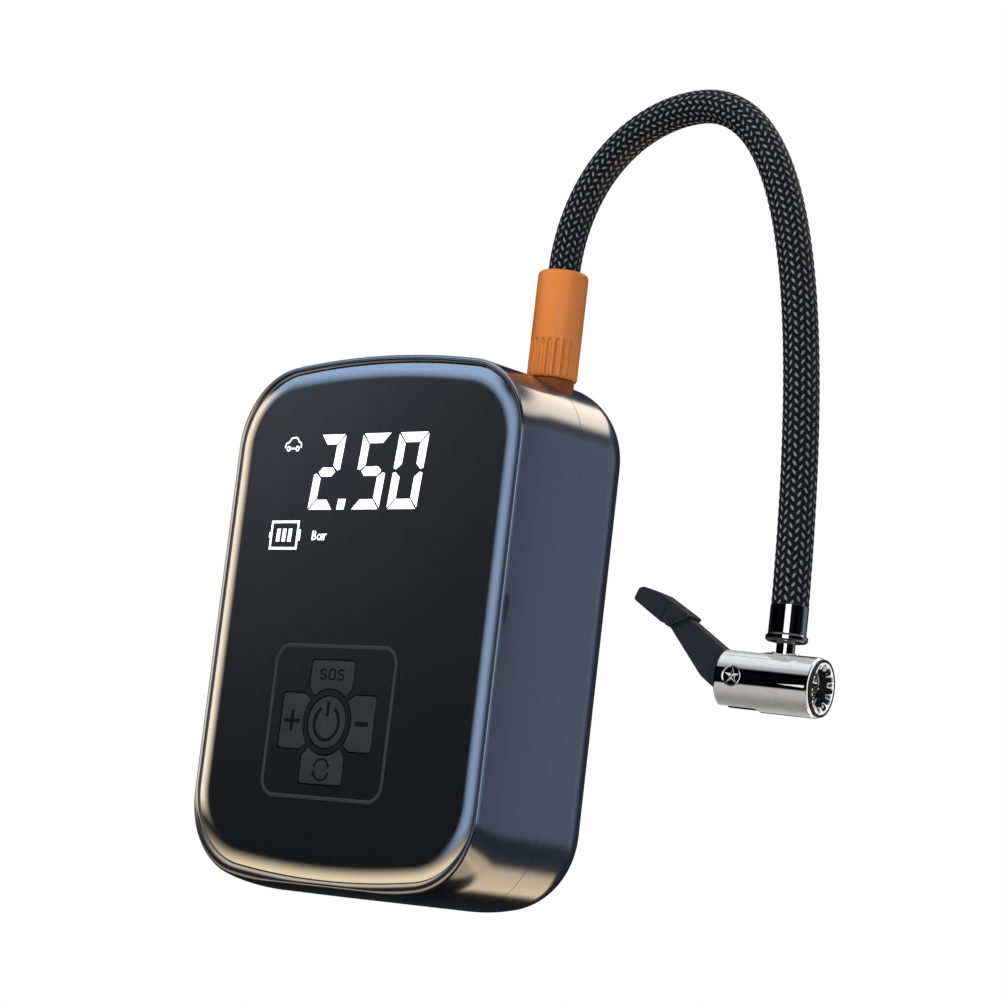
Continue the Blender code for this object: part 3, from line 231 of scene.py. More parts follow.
def cover_with_mirror(tree, where, shader, tints, rough, share, board_share, normal, bent=False):
    """Lays a mirror over part of a shader and adds the boards as painted reflection. bent gives it the normal too.
    """
    colour = tree.mix(tree.mottle(where, scale=700.0, detail=3.0), *tints)
    inputs = {"Color": colour, "Roughness": rough}
    if bent:
        inputs["Normal"] = normal
    mirror = tree.node("BsdfGlossy", inputs)[0]
    layer = tree.node("MixShader", {0: share, 1: shader, 2: mirror})[0]
    # painted reflection of the warm boards, added as emission
    warm = boards(tree, normal, strength=tree.times(board_share, 0.6))
    tree.output(tree.node("AddShader", {0: layer, 1: warm})[0])


def surface(name, colour, rough, metal=0.0, tint=0.08, scale=900.0, wear=0.06, grain=0.0,
            grain_scale=3500.0, stretch=None, coat=0.0, specular=0.5, rim=0.0):
    """A finish with colour drift and roughness variation; grain adds fine relief, rim paints shade on the edges
    turned from the view.
    """
    tree = new_material(name)
    where = tree.coords()
    if stretch:
        where = tree.node("Mapping", {"Scale": stretch, "Vector": where})["Vector"]
    drift = tree.noise(where, scale=scale * 0.12, detail=2.0)
    fine = tree.noise(where, scale=scale, detail=4.0)
    dark = tuple(part * (1 - tint) for part in colour)
    light = tuple(min(1.0, part * (1 + tint) + 0.002) for part in colour)
    blend = tree.plus(tree.times(drift, 0.6), tree.times(fine, 0.4))
    base = tree.mix(tree.ramp(blend, over=(0.35, 0.65)), dark, light)
    # painted shade: the base colour darkens on edges that turn away from the view
    if rim:
        facing = tree.node("LayerWeight", {"Blend": 0.4})["Facing"]
        base = tree.mix(tree.times(facing, rim), base, tuple(part * 0.4 for part in colour))
    rough_range = (max(0.0, rough - wear), min(1.0, rough + wear))
    tree.principled({
        "Base Color": base,
        "Roughness": tree.ramp(fine, over=(0.3, 0.7), to=rough_range),
        "Metallic": metal,
        "IOR": 1.5,
        "Specular IOR Level": specular,
    })
    if coat:
        tree.principled({"Coat Weight": coat, "Coat Roughness": 0.05})
    if grain:
        relief = tree.noise(where, scale=grain_scale, detail=3.0)
        tree.principled({"Normal": tree.bump(relief, strength=grain, distance=0.00004)})
    return tree.owner


def shell_finish():
    """Navy metallic lacquer: fine flake under a clear coat, with painted light making it a little lighter towards
    the back.
    """
    panel_middle = 0.065  # height in metres
    tree = new_material("shell_lacquer")
    where = tree.coords()
    x, y, z = tree.xyz(where)
    # painted light: the lacquer is lighter towards the back
    back = tree.ramp(y, over=(-0.022, 0.012))
    base = tree.mix(back, low=(0.028, 0.035, 0.053), high=(0.041, 0.053, 0.084))
    flake = tree.noise(where, scale=9000.0, detail=2.0, rough=0.7)
    flake = tree.ramp(flake, over=(0.3, 0.75), to=(0.0, 0.25))
    base = tree.mix(flake, base, high=(0.076, 0.091, 0.13))
    # the underside turns away from every lamp and reads almost black
    normal = tree.xyz(tree.geometry("Normal"))
    base = tree.mix(tree.ramp(normal[2], over=(-0.92, -0.30)), (0.006, 0.007, 0.009), base)
    shader = tree.principled({
        "Base Color": base,
        "Metallic": 0.55,
        "Roughness": tree.mottle(where, scale=40.0, detail=2.0, to=(0.27, 0.31)),
        "Specular IOR Level": 0.6,
        "Coat Weight": 1.0,
        "Coat Roughness": 0.085,
        "Coat IOR": 1.7,
    })
    # the bright bead round the panel: its inner flank catches the same cards as its outer one, except on the
    # right; the warm boards on it are painted reflection
    lean_z = tree.times(normal[2], tree.math("SUBTRACT", z, panel_middle))
    lean = tree.plus(tree.times(normal[0], x), lean_z)
    turn = tree.ramp(lean, over=(0.0, 0.006), to=(-0.6, 1.0))
    faced = {0: tree.times(normal[0], turn), 1: normal[1], 2: tree.times(normal[2], turn)}
    bead_normal = tree.vector("NORMALIZE", tree.node("CombineXYZ", faced)[0])
    bright = tree.math(
        "MAXIMUM",
        tree.ramp(lean, over=(0.0, 0.006)),
        tree.ramp(x, over=(0.034, 0.042), to=(1.0, 0.0)),
    )
    bright = tree.times(bright, tree.ramp(normal[2], over=(-0.45, -0.15)))
    rim_depth = ((Y_RIM + 0.95) * MM_TO_M, (Y_RIM + 0.45) * MM_TO_M)
    bright = tree.times(bright, tree.ramp(y, over=rim_depth, to=(0.0, 0.62)))
    tints = ((0.60, 0.60, 0.61), (0.64, 0.64, 0.65))
    cover_with_mirror(
        tree, where, shader, tints, rough=0.12, share=bright, board_share=bright,
        normal=bead_normal, bent=True,
    )
    return tree.owner


def lens_finish():
    """Black glass with painted light, lighter at its head and left side, with a mirror coating on its rolled edge.
    """
    tree = new_material("lens_glass")
    where = tree.coords()
    x, _, z = tree.xyz(where)
    # painted light: the face is lighter towards the top and towards the left
    height = tree.math("POWER", tree.ramp(z, over=(0.004, 0.128), kind="LINEAR"), 1.6)
    left = tree.ramp(x, over=(-0.034, 0.036), to=(1.0, 0.42), kind="LINEAR")
    face = tree.mix(
        tree.times(height, left), low=(0.0078, 0.0078, 0.0080), high=(0.0400, 0.0415, 0.0475)
    )
    drift = tree.mottle(where, scale=55.0, detail=2.0)
    drift = tree.mix(drift, low=(0.97, 0.97, 0.97), high=(1.0, 1.0, 1.0))
    rough = tree.mottle(where, scale=260.0, detail=2.0, to=(0.055, 0.075))
    shader = tree.principled({
        "Base Color": tree.mix(1.0, face, drift, blend="MULTIPLY"),
        "Roughness": rough,
        "Specular IOR Level": 0.16,
    })
    normal = tree.geometry("Normal")
    edge = tree.ramp(tree.times(tree.xyz(normal)[1], -1.0), over=(0.99995, 0.9955))
    # the walls of the key openings stay plain
    off_x = tree.math("SUBTRACT", x, KEY_X * MM_TO_M)
    off_z = tree.math("SUBTRACT", z, KEY_Z * MM_TO_M)
    away = tree.math("SQRT", tree.plus(tree.times(off_x, off_x), tree.times(off_z, off_z)))
    edge = tree.times(edge, tree.ramp(away, over=(0.019, 0.021)))
    tints = ((0.64, 0.645, 0.655), (0.67, 0.675, 0.685))
    cover_with_mirror(
        tree, where, shader, tints, rough=tree.plus(rough, 0.05), share=tree.times(edge, 0.92),
        board_share=edge, normal=normal,
    )
    return tree.owner


def braid_finish():
    """Black polyester yarn: a painted highlight on the crest of each float and painted shade in the valleys."""
    tree = new_material("braid_yarn")
    height = tree.node("Attribute", attribute_name="yarn")["Fac"]
    where = tree.coords()
    fibre = tree.noise(where, scale=7000.0, detail=3.0, rough=0.7)
    # painted shade: the yarn darkens from the crests into the valleys
    body = tree.mix(
        tree.ramp(height, over=(0.2, 0.75)), low=(0.0012, 0.0012, 0.0015), high=(0.0075, 0.0075, 0.008)
    )
    # painted highlight: a lighter grey on the crest of each float
    painted_crest_highlight = tree.mix(
        tree.ramp(fibre, over=(0.35, 0.65)), low=(0.11, 0.11, 0.115), high=(0.27, 0.27, 0.28)
    )
    tree.principled({
        "Base Color": tree.mix(tree.ramp(height, over=(0.86, 0.965)), body, painted_crest_highlight),
        "Roughness": tree.ramp(height, over=(0.0, 1.0), to=(0.9, 0.5)),
        "Specular IOR Level": 0.25,
        "Normal": tree.bump(fibre, strength=0.35, distance=0.00006),
    })
    return tree.owner


def glow(name, colour, strength):
    """Faintly mottled light."""
    tree = new_material(name)
    blotch = tree.noise(tree.coords(), scale=1200.0, detail=2.0)
    share = tree.ramp(blotch, over=(0.2, 0.8), to=(0.94, 1.0))
    shade = tree.mix(share, tuple(part * 0.9 for part in colour), colour)
    tree.principled({
        "Base Color": shade,
        "Emission Color": shade,
        "Emission Strength": strength,
        "Roughness": 0.35,
    })
    return tree.owner


# painted reflections in the plating
PLATING_FLAG = (160.0, 100.0, 10.0, -8.0, 52.0, 8.0)  # black, hides the coloured cards
PLATING_SIDE = (22.0, 15.0, 10.0, 6.0, 16.0, 10.0)  # pale, behind
PLATING_STREAK = (152.0, 12.0, 7.0, -6.0, 30.0, 12.0)  # bright, in front


def glint_share(tree, where, elevation):
    """A thin wedge of light at half height, widest at the chuck's nose."""
    along = tree.vector("DOT_PRODUCT", where, tuple(NOSE_DIR))
    run = tree.math("SUBTRACT", along, CHUCK.dot(NOSE_DIR) * MM_TO_M)
    thick = tree.ramp(run, over=(0.0018, 0.0080), to=(0.2, 4.2), kind="LINEAR")
    off = tree.math("ABSOLUTE", tree.plus(elevation, 3.0))
    near = tree.math("LESS_THAN", off, thick)
    inside = tree.times(
        tree.ramp(run, over=(0.0016, 0.0026)),
        tree.ramp(run, over=(0.0079, 0.0083), to=(1.0, 0.0)),
    )
    return tree.times(near, inside)


def plated(name, colour, rough, shine, streak=False, glint=False):
    """Polished plating that mirrors the room, with painted reflections of a black flag and pale boards above and
    below.
    """
    tree = new_material(name)
    where = tree.coords()
    view = angles(tree, tree.node("TexCoord")["Reflection"])
    elevation = view[1]
    # painted reflection: the base colour turns black for reflected directions inside the flag
    flag = tree.math("SUBTRACT", 1.0, patch(tree, view, PLATING_FLAG))
    swirl = tree.mottle(where, scale=420.0, detail=3.0, to=(0.93, 1.0))
    # painted reflections: the light above, below, beside, in the streak and in the glint is emission chosen by the
    # reflected direction
    above = tree.times(tree.ramp(elevation, over=(33.0, 43.0)), 0.42 * shine)
    below = tree.times(
        tree.ramp(elevation, over=(-15.0, -21.0)),
        tree.ramp(elevation, over=(-85.0, -30.0), to=(0.25, 1.0)),
    )
    below = tree.times(below, 0.46 * shine)
    side = tree.times(patch(tree, view, PLATING_SIDE), 0.9 * shine)
    total = tree.plus(tree.plus(above, below), side)
    if streak:
        total = tree.plus(total, tree.times(patch(tree, view, PLATING_STREAK), 1.5))
    if glint:
        total = tree.plus(total, tree.times(glint_share(tree, where, elevation), 0.85))
    level = tree.ramp(elevation, over=(-10.0, 10.0))
    rough_range = (rough * 0.75, rough * 1.25)
    tree.principled({
        "Base Color": tree.mix(tree.times(flag, swirl), (0.006, 0.006, 0.006), colour),
        "Metallic": 1.0,
        "Roughness": tree.mottle(where, scale=900.0, detail=3.0, to=rough_range),
        "Emission Color": tree.mix(level, low=(1.0, 0.99, 0.965), high=(0.985, 0.99, 1.0)),
        "Emission Strength": tree.times(total, swirl),
    })
    return tree.owner


MAT = {
    "shell": shell_finish(),
    "lens": lens_finish(),
    "braid": braid_finish(),
    "key": surface(
        "key_satin", (0.0275, 0.0275, 0.0275), rough=0.5, tint=0.05, wear=0.04, grain=0.25,
        grain_scale=5200.0, specular=0.2,
    ),
    "key_print": surface(
        "key_print", (0.0042, 0.0042, 0.0045), rough=0.55, tint=0.05, specular=0.1
    ),
    "rib": surface("rib_satin", (0.033, 0.033, 0.034), rough=0.42, tint=0.05, specular=0.2),
    "digits": glow("display_segments", (1.0, 1.0, 1.0), strength=0.95),
    "display": surface("display_stack", (0.012, 0.012, 0.013), rough=0.3),
    "pcb": surface(
        "board_mask", (0.012, 0.10, 0.035), rough=0.38, tint=0.25, scale=1500.0, coat=0.3
    ),
    "dark_plastic": surface(
        "black_moulding", (0.016, 0.016, 0.017), rough=0.48, grain=0.4, specular=0.4
    ),
    "cell": surface("cell_wrap", (0.03, 0.17, 0.32), rough=0.32, tint=0.12, coat=0.4),
    "nickel": surface("nickel", (0.62, 0.61, 0.59), rough=0.2, metal=1.0, tint=0.06, wear=0.05),
    "steel": surface(
        "zinc_steel", (0.55, 0.555, 0.56), rough=0.3, metal=1.0, tint=0.1, wear=0.08,
        stretch=(1.0, 1.0, 6.0),
    ),
    "aluminium": surface(
        "die_cast", (0.62, 0.63, 0.64), rough=0.42, metal=1.0, tint=0.1, wear=0.08, grain=0.5,
        grain_scale=2600.0,
    ),
    "brass": surface(
        "turned_brass", (0.74, 0.53, 0.22), rough=0.24, metal=1.0, tint=0.1, wear=0.06,
        stretch=(1.0, 1.0, 9.0),
    ),
    "silicone": surface("silicone", (0.55, 0.57, 0.57), rough=0.45, tint=0.05, coat=0.2),
    "clear": surface("frosted_window", (0.80, 0.82, 0.83), rough=0.22, tint=0.04, coat=0.6),
    "winding": surface(
        "copper_winding", (0.70, 0.28, 0.13), rough=0.35, metal=0.9, tint=0.3, scale=2500.0,
        stretch=(8.0, 1.0, 1.0),
    ),
    "rubber": surface(
        "black_rubber", (0.012, 0.012, 0.012), rough=0.55, tint=0.1, grain=0.5,
        grain_scale=4200.0, specular=0.4,
    ),
    # rim gives the grip nut painted shade on its edges turned from the view
    "orange": surface(
        "orange_satin", (0.72, 0.215, 0.040), rough=0.44, tint=0.03, wear=0.04, grain=0.35,
        grain_scale=4500.0, specular=0.35, rim=0.85,
    ),
    # painted shade: a dark orange that stands for the shadowed underside of the grip nut
    "orange_painted_shade": surface(
        "orange_painted_shade", (0.20, 0.052, 0.012), rough=0.6, tint=0.04, specular=0.2
    ),
    "black_chrome": plated(
        "black_chrome", (0.10, 0.10, 0.105), rough=0.07, shine=0.10, streak=True
    ),
    "chrome": plated("chrome", (0.50, 0.50, 0.505), rough=0.05, shine=1.0),
    "chrome_barrel": plated(
        "chrome_barrel", (0.50, 0.50, 0.505), rough=0.05, shine=1.0, glint=True
    ),
    "lever": surface(
        "lever_black", (0.0125, 0.0135, 0.0155), rough=0.5, tint=0.08, grain=0.45,
        grain_scale=4800.0, specular=0.35,
    ),
}


# ================================================================ mesh helpers
def loft(mesh, rings, loop=False, caps=True):
    """Skins rings of equal length, closed on themselves (loop) or by end caps."""
    rows = [[mesh.verts.new(point) for point in ring] for ring in rings]
    count = len(rows[0])
    pairs = list(zip(rows, rows[1:]))
    if loop:
        pairs.append((rows[-1], rows[0]))
    for row, after in pairs:
        for i in range(count):
            j = (i + 1) % count
            mesh.faces.new((row[i], row[j], after[j], after[i]))
    if caps and not loop:
        mesh.faces.new(rows[0])
        mesh.faces.new(list(reversed(rows[-1])))


def smooth(mesh, angle):
    mesh.shade_smooth()
    mesh.set_sharp_from_angle(angle=math.radians(angle))


def make(name, build, material=None, matrix=None, angle=30.0):
    """An object from a builder that draws in millimetres."""
    draft = bmesh.new()
    build(draft)
    if matrix is not None:
        draft.transform(matrix)
    draft.transform(Matrix.Scale(MM_TO_M, 4))
    bmesh.ops.recalc_face_normals(draft, faces=draft.faces)
    mesh = bpy.data.meshes.new(name)
    draft.to_mesh(mesh)
    draft.free()
    smooth(mesh, angle)
    if material is not None:
        mesh.materials.append(material)
    obj = bpy.data.objects.new(name, mesh)
    bpy.context.scene.collection.objects.link(obj)
    return obj


def bake(obj, angle):
    """Replaces an object's mesh by what its modifiers make of it."""
    bpy.context.view_layer.update()
    graph = bpy.context.evaluated_depsgraph_get()
    mesh = bpy.data.meshes.new_from_object(obj.evaluated_get(graph))
    materials = list(obj.data.materials)
    obj.modifiers.clear()
    obj.data = mesh
    mesh.materials.clear()
    for material in materials:
        mesh.materials.append(material)
    smooth(mesh, angle)


def carve(target, cuts, angle=30.0):
    """Runs Booleans on an object and keeps their result. A cut is (build, operation[, matrix])."""
    tools = []
    for k, (build, operation, *matrix) in enumerate(cuts):
        tool = make(f"{target.name}_tool_{k}", build, matrix=matrix[0] if matrix else None)
        change = target.modifiers.new(f"cut_{k}", "BOOLEAN")
        change.operation, change.solver, change.object = operation, "EXACT", tool
        tools.append(tool)
    bake(target, angle)
    for tool in tools:
        bpy.data.objects.remove(tool, do_unlink=True)


def keep_flats(obj):
    """Flat faces keep flat shading beside small bevels."""
    change = obj.modifiers.new("weighted", "WEIGHTED_NORMAL")
    change.keep_sharp = True
    change.weight = 80


def register(obj, body, replaces=None):
    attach(obj, body)
    if replaces:
        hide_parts(replaces)


def piece(name, build, finish, body="housing", slot=None, replaces=None, cuts=(), matrix=None,
          angle=30.0, cut_angle=30.0, flats=False):
    """Makes, cuts and registers one piece. slot is not used."""
    obj = make(name, build, MAT[finish], matrix, angle)
    if cuts:
        carve(obj, cuts, cut_angle)
    if flats:
        keep_flats(obj)
    register(obj, body, replaces)


AXES = {
    "x": lambda first, second, run: (run, first, second),
    "y": lambda first, second, run: (second, run, first),
    "z": lambda first, second, run: (first, second, run),
}


def prism(mesh, outline, axis, low, high):
    """Extrudes an outline given in the other two axes, in x, y, z order."""
    if axis == "y":
        outline = [(z, x) for x, z in outline]
    place = AXES[axis]
    loft(mesh, [[place(*point, run) for point in outline] for run in (low, high)])


def lathe(mesh, profile, axis="z", centre=(0.0, 0.0), count=96):
    """Turns (radius, height) points. Ends on radius 0 close the piece; others make a ring.
    The centre is (y, z) for axis x, (z, x) for y and (x, y) for z."""
    place = AXES[axis]
    rows = []
    for radius, run in profile:
        row = []
        for k in range(count if radius else 1):
            turn = 2 * math.pi * k / count
            first = centre[0] + radius * math.cos(turn)
            row.append(mesh.verts.new(place(first, centre[1] + radius * math.sin(turn), run)))
        rows.append(row)
    pairs = list(zip(rows, rows[1:]))
    if profile[0][0] or profile[-1][0]:
        pairs.append((rows[-1], rows[0]))
    for row, after in pairs:
        for i in range(count):
            j = (i + 1) % count
            if len(row) == 1:
                mesh.faces.new((row[0], after[j], after[i]))
            elif len(after) == 1:
                mesh.faces.new((row[i], row[j], after[0]))
            else:
                mesh.faces.new((row[i], row[j], after[j], after[i]))


def rounded(points, radii, steps=5, closed=True):
    """Replaces each corner of a polygon by an arc. radii is one number or one per corner."""
    count = len(points)
    out = []
    for i, point in enumerate(points):
        radius = radii if isinstance(radii, (int, float)) else radii[i]
        if radius <= 0 or (not closed and i in (0, count - 1)):
            out.append(tuple(point))
            continue
        corner = Vector(point)
        back, ahead = Vector(points[i - 1]) - corner, Vector(points[(i + 1) % count]) - corner
        back_length, ahead_length = back.length, ahead.length
        back, ahead = back / back_length, ahead / ahead_length
        angle = math.acos(max(-1.0, min(1.0, back.dot(ahead))))
        if angle > math.pi - 0.02:
            out.append(tuple(corner))
            continue
        reach = min(radius / math.tan(angle / 2), back_length * 0.49, ahead_length * 0.49)
        fitted = reach * math.tan(angle / 2)
        centre = corner + (back + ahead).normalized() * (fitted / math.sin(angle / 2))
        start, end = corner + back * reach - centre, corner + ahead * reach - centre
        sign = 1.0 if start.x * end.y - start.y * end.x > 0 else -1.0
        for k in range(steps + 1):
            turn = sign * (math.pi - angle) * k / steps
            cos, sin = math.cos(turn), math.sin(turn)
            x, y = cos * start.x - sin * start.y, sin * start.x + cos * start.y
            out.append((centre.x + x, centre.y + y))
    return out


def circle(radius, count, x=0.0, y=0.0):
    turns = [2 * math.pi * k / count for k in range(count)]
    return [(x + radius * math.cos(turn), y + radius * math.sin(turn)) for turn in turns]


def rectangle(x0, x1, y0, y1):
    return [(x0, y0), (x1, y0), (x1, y1), (x0, y1)]


def rounded_box(x0, x1, y0, y1, radius, steps=8):
    return rounded(rectangle(x0, x1, y0, y1), radius, steps)


def stadium(x0, x1, y0, y1, steps=10):
    return rounded_box(x0, x1, y0, y1, min(x1 - x0, y1 - y0) / 2 * 0.999, steps)


def shifted(points, x, y):
    return [(x + right, y + up) for right, up in points]


def scaled(points, factor, x, y):
    """Scales points about (x, y)."""
    return [(x + (px - x) * factor, y + (py - y) * factor) for px, py in points]


def mirrored(points):
    return [(-x, z) for x, z in reversed(points)]


# ================================================================ housing
CORNER_STEPS, BOW_STEPS = 18, 10


def face_outline(half, top, bottom, corner_r, flat_base=False):
    """Front view: straight sides, round corners, bowed ends, anticlockwise from the right."""
    rise, reach = BOW_R - corner_r, half - corner_r
    bow_rise = math.sqrt(rise * rise - reach * reach)
    tilt = math.asin(reach / rise)

    def corner_turns():
        return [(math.pi / 2 - tilt) * k / CORNER_STEPS for k in range(CORNER_STEPS + 1)]

    corner_z = top - BOW_R + bow_rise
    upper = [
        (reach + corner_r * math.cos(a), corner_z + corner_r * math.sin(a))
        for a in corner_turns()
    ]
    for k in range(1, BOW_STEPS):
        turn = tilt * (1 - k / BOW_STEPS)
        upper.append((BOW_R * math.sin(turn), top - BOW_R + BOW_R * math.cos(turn)))
    if flat_base:
        side = half - corner_r - BASE_FLAT
        rise = BASE_BOW_R - corner_r
        corner_z = bottom + BASE_BOW_R - math.sqrt(rise * rise - side * side)
        tilt = math.asin(side / rise)
        turns = [tilt * k / BOW_STEPS for k in range(BOW_STEPS - 1)]
        lower = [
            (BASE_FLAT + BASE_BOW_R * math.sin(a), bottom + BASE_BOW_R * (1 - math.cos(a)))
            for a in turns
        ]
    else:
        corner_z = bottom + BOW_R - bow_rise
        turns = [tilt * k / BOW_STEPS for k in range(1, BOW_STEPS)]
        lower = [(BOW_R * math.sin(a), bottom + BOW_R - BOW_R * math.cos(a)) for a in turns]
    lower += [
        (reach + corner_r * math.cos(a), corner_z - corner_r * math.sin(a))
        for a in reversed(corner_turns())
    ]
    return upper + [(0.0, top)] + mirrored(upper) + mirrored(lower) + [(0.0, bottom)] + lower


def section(y, inset=0.0, place=None):
    """Outline of the housing at depth y, drawn in by inset, put at depth place if given."""
    run = min(1.0, max(0.0, (y - Y_RIM) / BULGE_DEPTH))
    bulge = 1 - (1 - run) ** 2.2
    start = Y_BACK - REAR_R
    if y > start:
        reach = min(1.0, (y - start) / REAR_R)
        inset += REAR_R * (1 - math.sqrt(max(0.0, 1 - reach * reach)))
    outline = face_outline(
        HALF_WIDTH - SIDE_BULGE + SIDE_BULGE * bulge - inset,
        Z_TOP_RIM + (Z_TOP - Z_TOP_RIM) * bulge - inset,
        Z_BASE_RIM + (Z_BASE - Z_BASE_RIM) * bulge + inset,
        max(4.0, CORNER_R - inset),
        flat_base=True,
    )
    depth = y if place is None else place
    return [(x, depth, z) for x, z in outline]


def lens_ring(inset, y):
    outline = face_outline(LENS_HI.x - inset, LENS_HI.z - inset, LENS_LO.z + inset, LENS_R - inset)
    return [(x, y, z) for x, z in outline]


# quarter turns clockwise from the top key, half width, outer edge from the middle of the pad,
# and the place (x, z) of the stem behind the key; the power key is round
KEYS = {
    "power": (0, POWER_R, POWER_R, (0, 0)),
    "sos": (0, 7.1, 14.9, (0, 11.4)),
    "mode": (2, 7.1, 14.9, (0, -11.4)),
    "plus": (3, 6.7, 15.5, (-11.8, 0)),
    "minus": (1, 6.7, 15.5, (11.8, 0)),
}
KEY_ARC, KEY_SHOULDER = 8.1, 8.3  # hollow round the power key, height of the shoulders
KEY_GAP = 0.3


def key_outline(kind, grow=0.0):
    """A key in the front view; grow enlarges it into the hole it moves in."""
    if kind == "power":
        return circle(POWER_R + grow, 72, KEY_X, KEY_Z)
    turns, across, outer, _ = KEYS[kind]
    across, outer = across + grow, outer + grow
    arc_r = KEY_ARC - grow
    half = math.radians(40.0)
    low = KEY_SHOULDER - grow * 0.4
    toe = (arc_r * math.sin(half) + grow * 0.5, arc_r * math.cos(half))
    points = [(-across, outer), (-across, low), (-toe[0], toe[1])]
    for k in range(2, 23):
        sweep = half * (1 - k / 12)
        points.append((-arc_r * math.sin(sweep), arc_r * math.cos(sweep)))
    points += [(toe[0], toe[1]), (across, low), (across, outer)]
    points = rounded(points, [0.9, 0.6, 0.3] + [0] * 21 + [0.3, 0.6, 0.9], 4)
    turn = -turns * math.pi / 2
    cos, sin = math.cos(turn), math.sin(turn)
    return [(KEY_X + cos * x - sin * z, KEY_Z + sin * x + cos * z) for x, z in points]


def front_housing(mesh):
    """Half-round rim, bulged sides and an inner skin with a step at the joint line."""
    crest, fall = Y_RIM + 0.2, 0.75
    inner, outer = lens_ring(-0.25, 0.0), section(crest + fall)
    rings = [lens_ring(-0.25, -19.6)]
    for k in range(17):
        turn = math.pi * k / 16
        share = (1 - math.cos(turn)) / 2
        y = crest + fall * (1 - math.sin(turn))
        rings.append([
            (p[0] + (q[0] - p[0]) * share, y, p[2] + (q[2] - p[2]) * share)
            for p, q in zip(inner, outer)
        ])
    y = crest + fall
    rings += [section(y + (-12.0 - y) * (k / 11) ** 1.2) for k in range(1, 12)]
    seam = Y_SPLIT - 0.07
    rings += [section(-6.0), section(-1.5), section(seam - 0.05)]
    steps = ((0.05, seam), (1.0, seam), (1.0, -3.4), (WALL, -3.4), (WALL, -17.8))
    rings += [section(0.0, inset, depth) for inset, depth in steps]
    loft(mesh, rings)


def front_holes(mesh):
    """Openings for the display and the keys."""
    low, high = span("display_module")
    gap = 0.4
    opening = rounded_box(low.x - gap, high.x + gap, low.z - gap, high.z + gap, 1.0, 4)
    prism(mesh, opening, "y", -21.0, -16.0)
    for kind in KEYS:
        prism(mesh, key_outline(kind, KEY_GAP), "y", -21.0, -16.0)


def socket_hole(mesh):
    """Stepped hole in the top, under the hose nut."""
    seat = NUT_LO.z - 0.3
    profile = [(0, 110.0), (4.6, 110.0), (4.6, seat), (6.5, seat), (6.5, 140.0), (0, 140.0)]
    lathe(mesh, profile, "z", (HOSE_X, 0.0))


piece(
    "housing_front", front_housing, "shell", replaces="front_shell", flats=True,
    cuts=[(front_holes, "DIFFERENCE"), (socket_hole, "DIFFERENCE")],
)

BOSSES = []  # (z, x) of each housing screw
for letter in "abcd":
    screw_lo, screw_hi = span(f"housing_screw_{letter}")
    BOSSES.append(((screw_lo.z + screw_hi.z) / 2, (screw_lo.x + screw_hi.x) / 2))

PORT_Y, PORT_Z = 8.1, 30.0
PORT_HOLE = (6.3, 9.9, 25.2, 34.8)  # y from, to, z from, to
LAMP_HOLE = (-27.3, -16.7, 4.2, 9.4)  # x from, to, y from, to


def rear_solid(mesh):
    """Straight wall, a round rear edge, and an inner skin with a tongue into the front half."""
    start = Y_BACK - REAR_R
    outer = [section(0.0, 0.05, Y_SPLIT), section(Y_SPLIT + 0.05), section(3.0), section(start)]
    for k in range(1, 24):
        outer.append(section(start + REAR_R * math.sin(math.pi / 2 * k / 24)))
    outer.append(section(Y_BACK - 1e-6, 0.0, Y_BACK))
    tongue, inner_start, inner_r = -2.9, 9.9, REAR_R - WALL
    inner = [section(0.0, WALL, tongue)]
    for k in range(13):
        turn = math.pi / 2 * k / 12
        inset, depth = WALL + inner_r * (1 - math.cos(turn)), inner_start + inner_r * math.sin(turn)
        inner.append(section(0.0, inset, depth))
    step = [section(0.0, 1.25, tongue), section(0.0, 1.25, Y_SPLIT)]
    loft(mesh, list(reversed(inner)) + step + outer)


def rear_posts(mesh):
    foot = Y_SPLIT + 0.3
    for centre in BOSSES:
        lathe(mesh, [(0, foot), (3.0, foot), (3.0, 18.5), (0, 18.5)], "y", centre, 48)


def rear_cuts(mesh):
    """Screw holes, six slots in the back, the charging port and the lamp window."""
    screw = [
        (0, -2.0), (1.75, -2.0), (1.75, 11.0), (2.45, 11.0),
        (2.45, 20.4), (2.85, 20.95), (3.2, 26.0), (0, 26.0),
    ]
    for centre in BOSSES:
        lathe(mesh, screw, "y", centre, 48)
    for k in range(6):
        z = 38.0 + 4.2 * k
        prism(mesh, stadium(-9.0, 9.0, z, z + 1.6), "y", 17.0, 24.0)
    prism(mesh, stadium(*PORT_HOLE), "x", -52.0, -42.0)
    prism(mesh, rounded_box(*LAMP_HOLE, 1.6, 6), "z", 122.0, 136.0)


piece(
    "housing_rear", rear_solid, "shell", replaces="rear_shell", flats=True,
    cuts=[(rear_posts, "UNION"), (rear_cuts, "DIFFERENCE"), (socket_hole, "DIFFERENCE")],
)


# ================================================================ front panel
def lens(mesh):
    """Panel with a shallow curve towards its edge and a tight roll at the edge itself."""
    reach, turn, nose = 4.93, math.radians(17.5), 0.2
    radius = (reach - nose * 0.6) / math.sin(turn)
    rings = []
    for k in range(21):
        lean = turn * k / 20
        y = LENS_FRONT + radius * (1 - math.cos(lean))
        rings.append(lens_ring(reach - radius * math.sin(lean), y))
    start = reach - radius * math.sin(turn)
    drop = LENS_FRONT + radius * (1 - math.cos(turn))
    for k in range(1, 7):
        lean = turn + (math.pi / 2 - turn) * k / 6
        along = (math.sin(lean) - math.sin(turn)) / (1 - math.sin(turn))
        y = drop + nose * 0.62 * (math.cos(turn) - math.cos(lean)) / math.cos(turn)
        rings.append(lens_ring(start * (1 - along), y))
    rings.append(lens_ring(0.0, LENS_BACK))
    loft(mesh, rings)


def lens_cuts(mesh):
    for kind in KEYS:
        prism(mesh, key_outline(kind, KEY_GAP), "y", LENS_FRONT - 2.0, LENS_BACK + 2.0)


piece("front_panel", lens, "lens", replaces="front_lens", cuts=[(lens_cuts, "DIFFERENCE")])


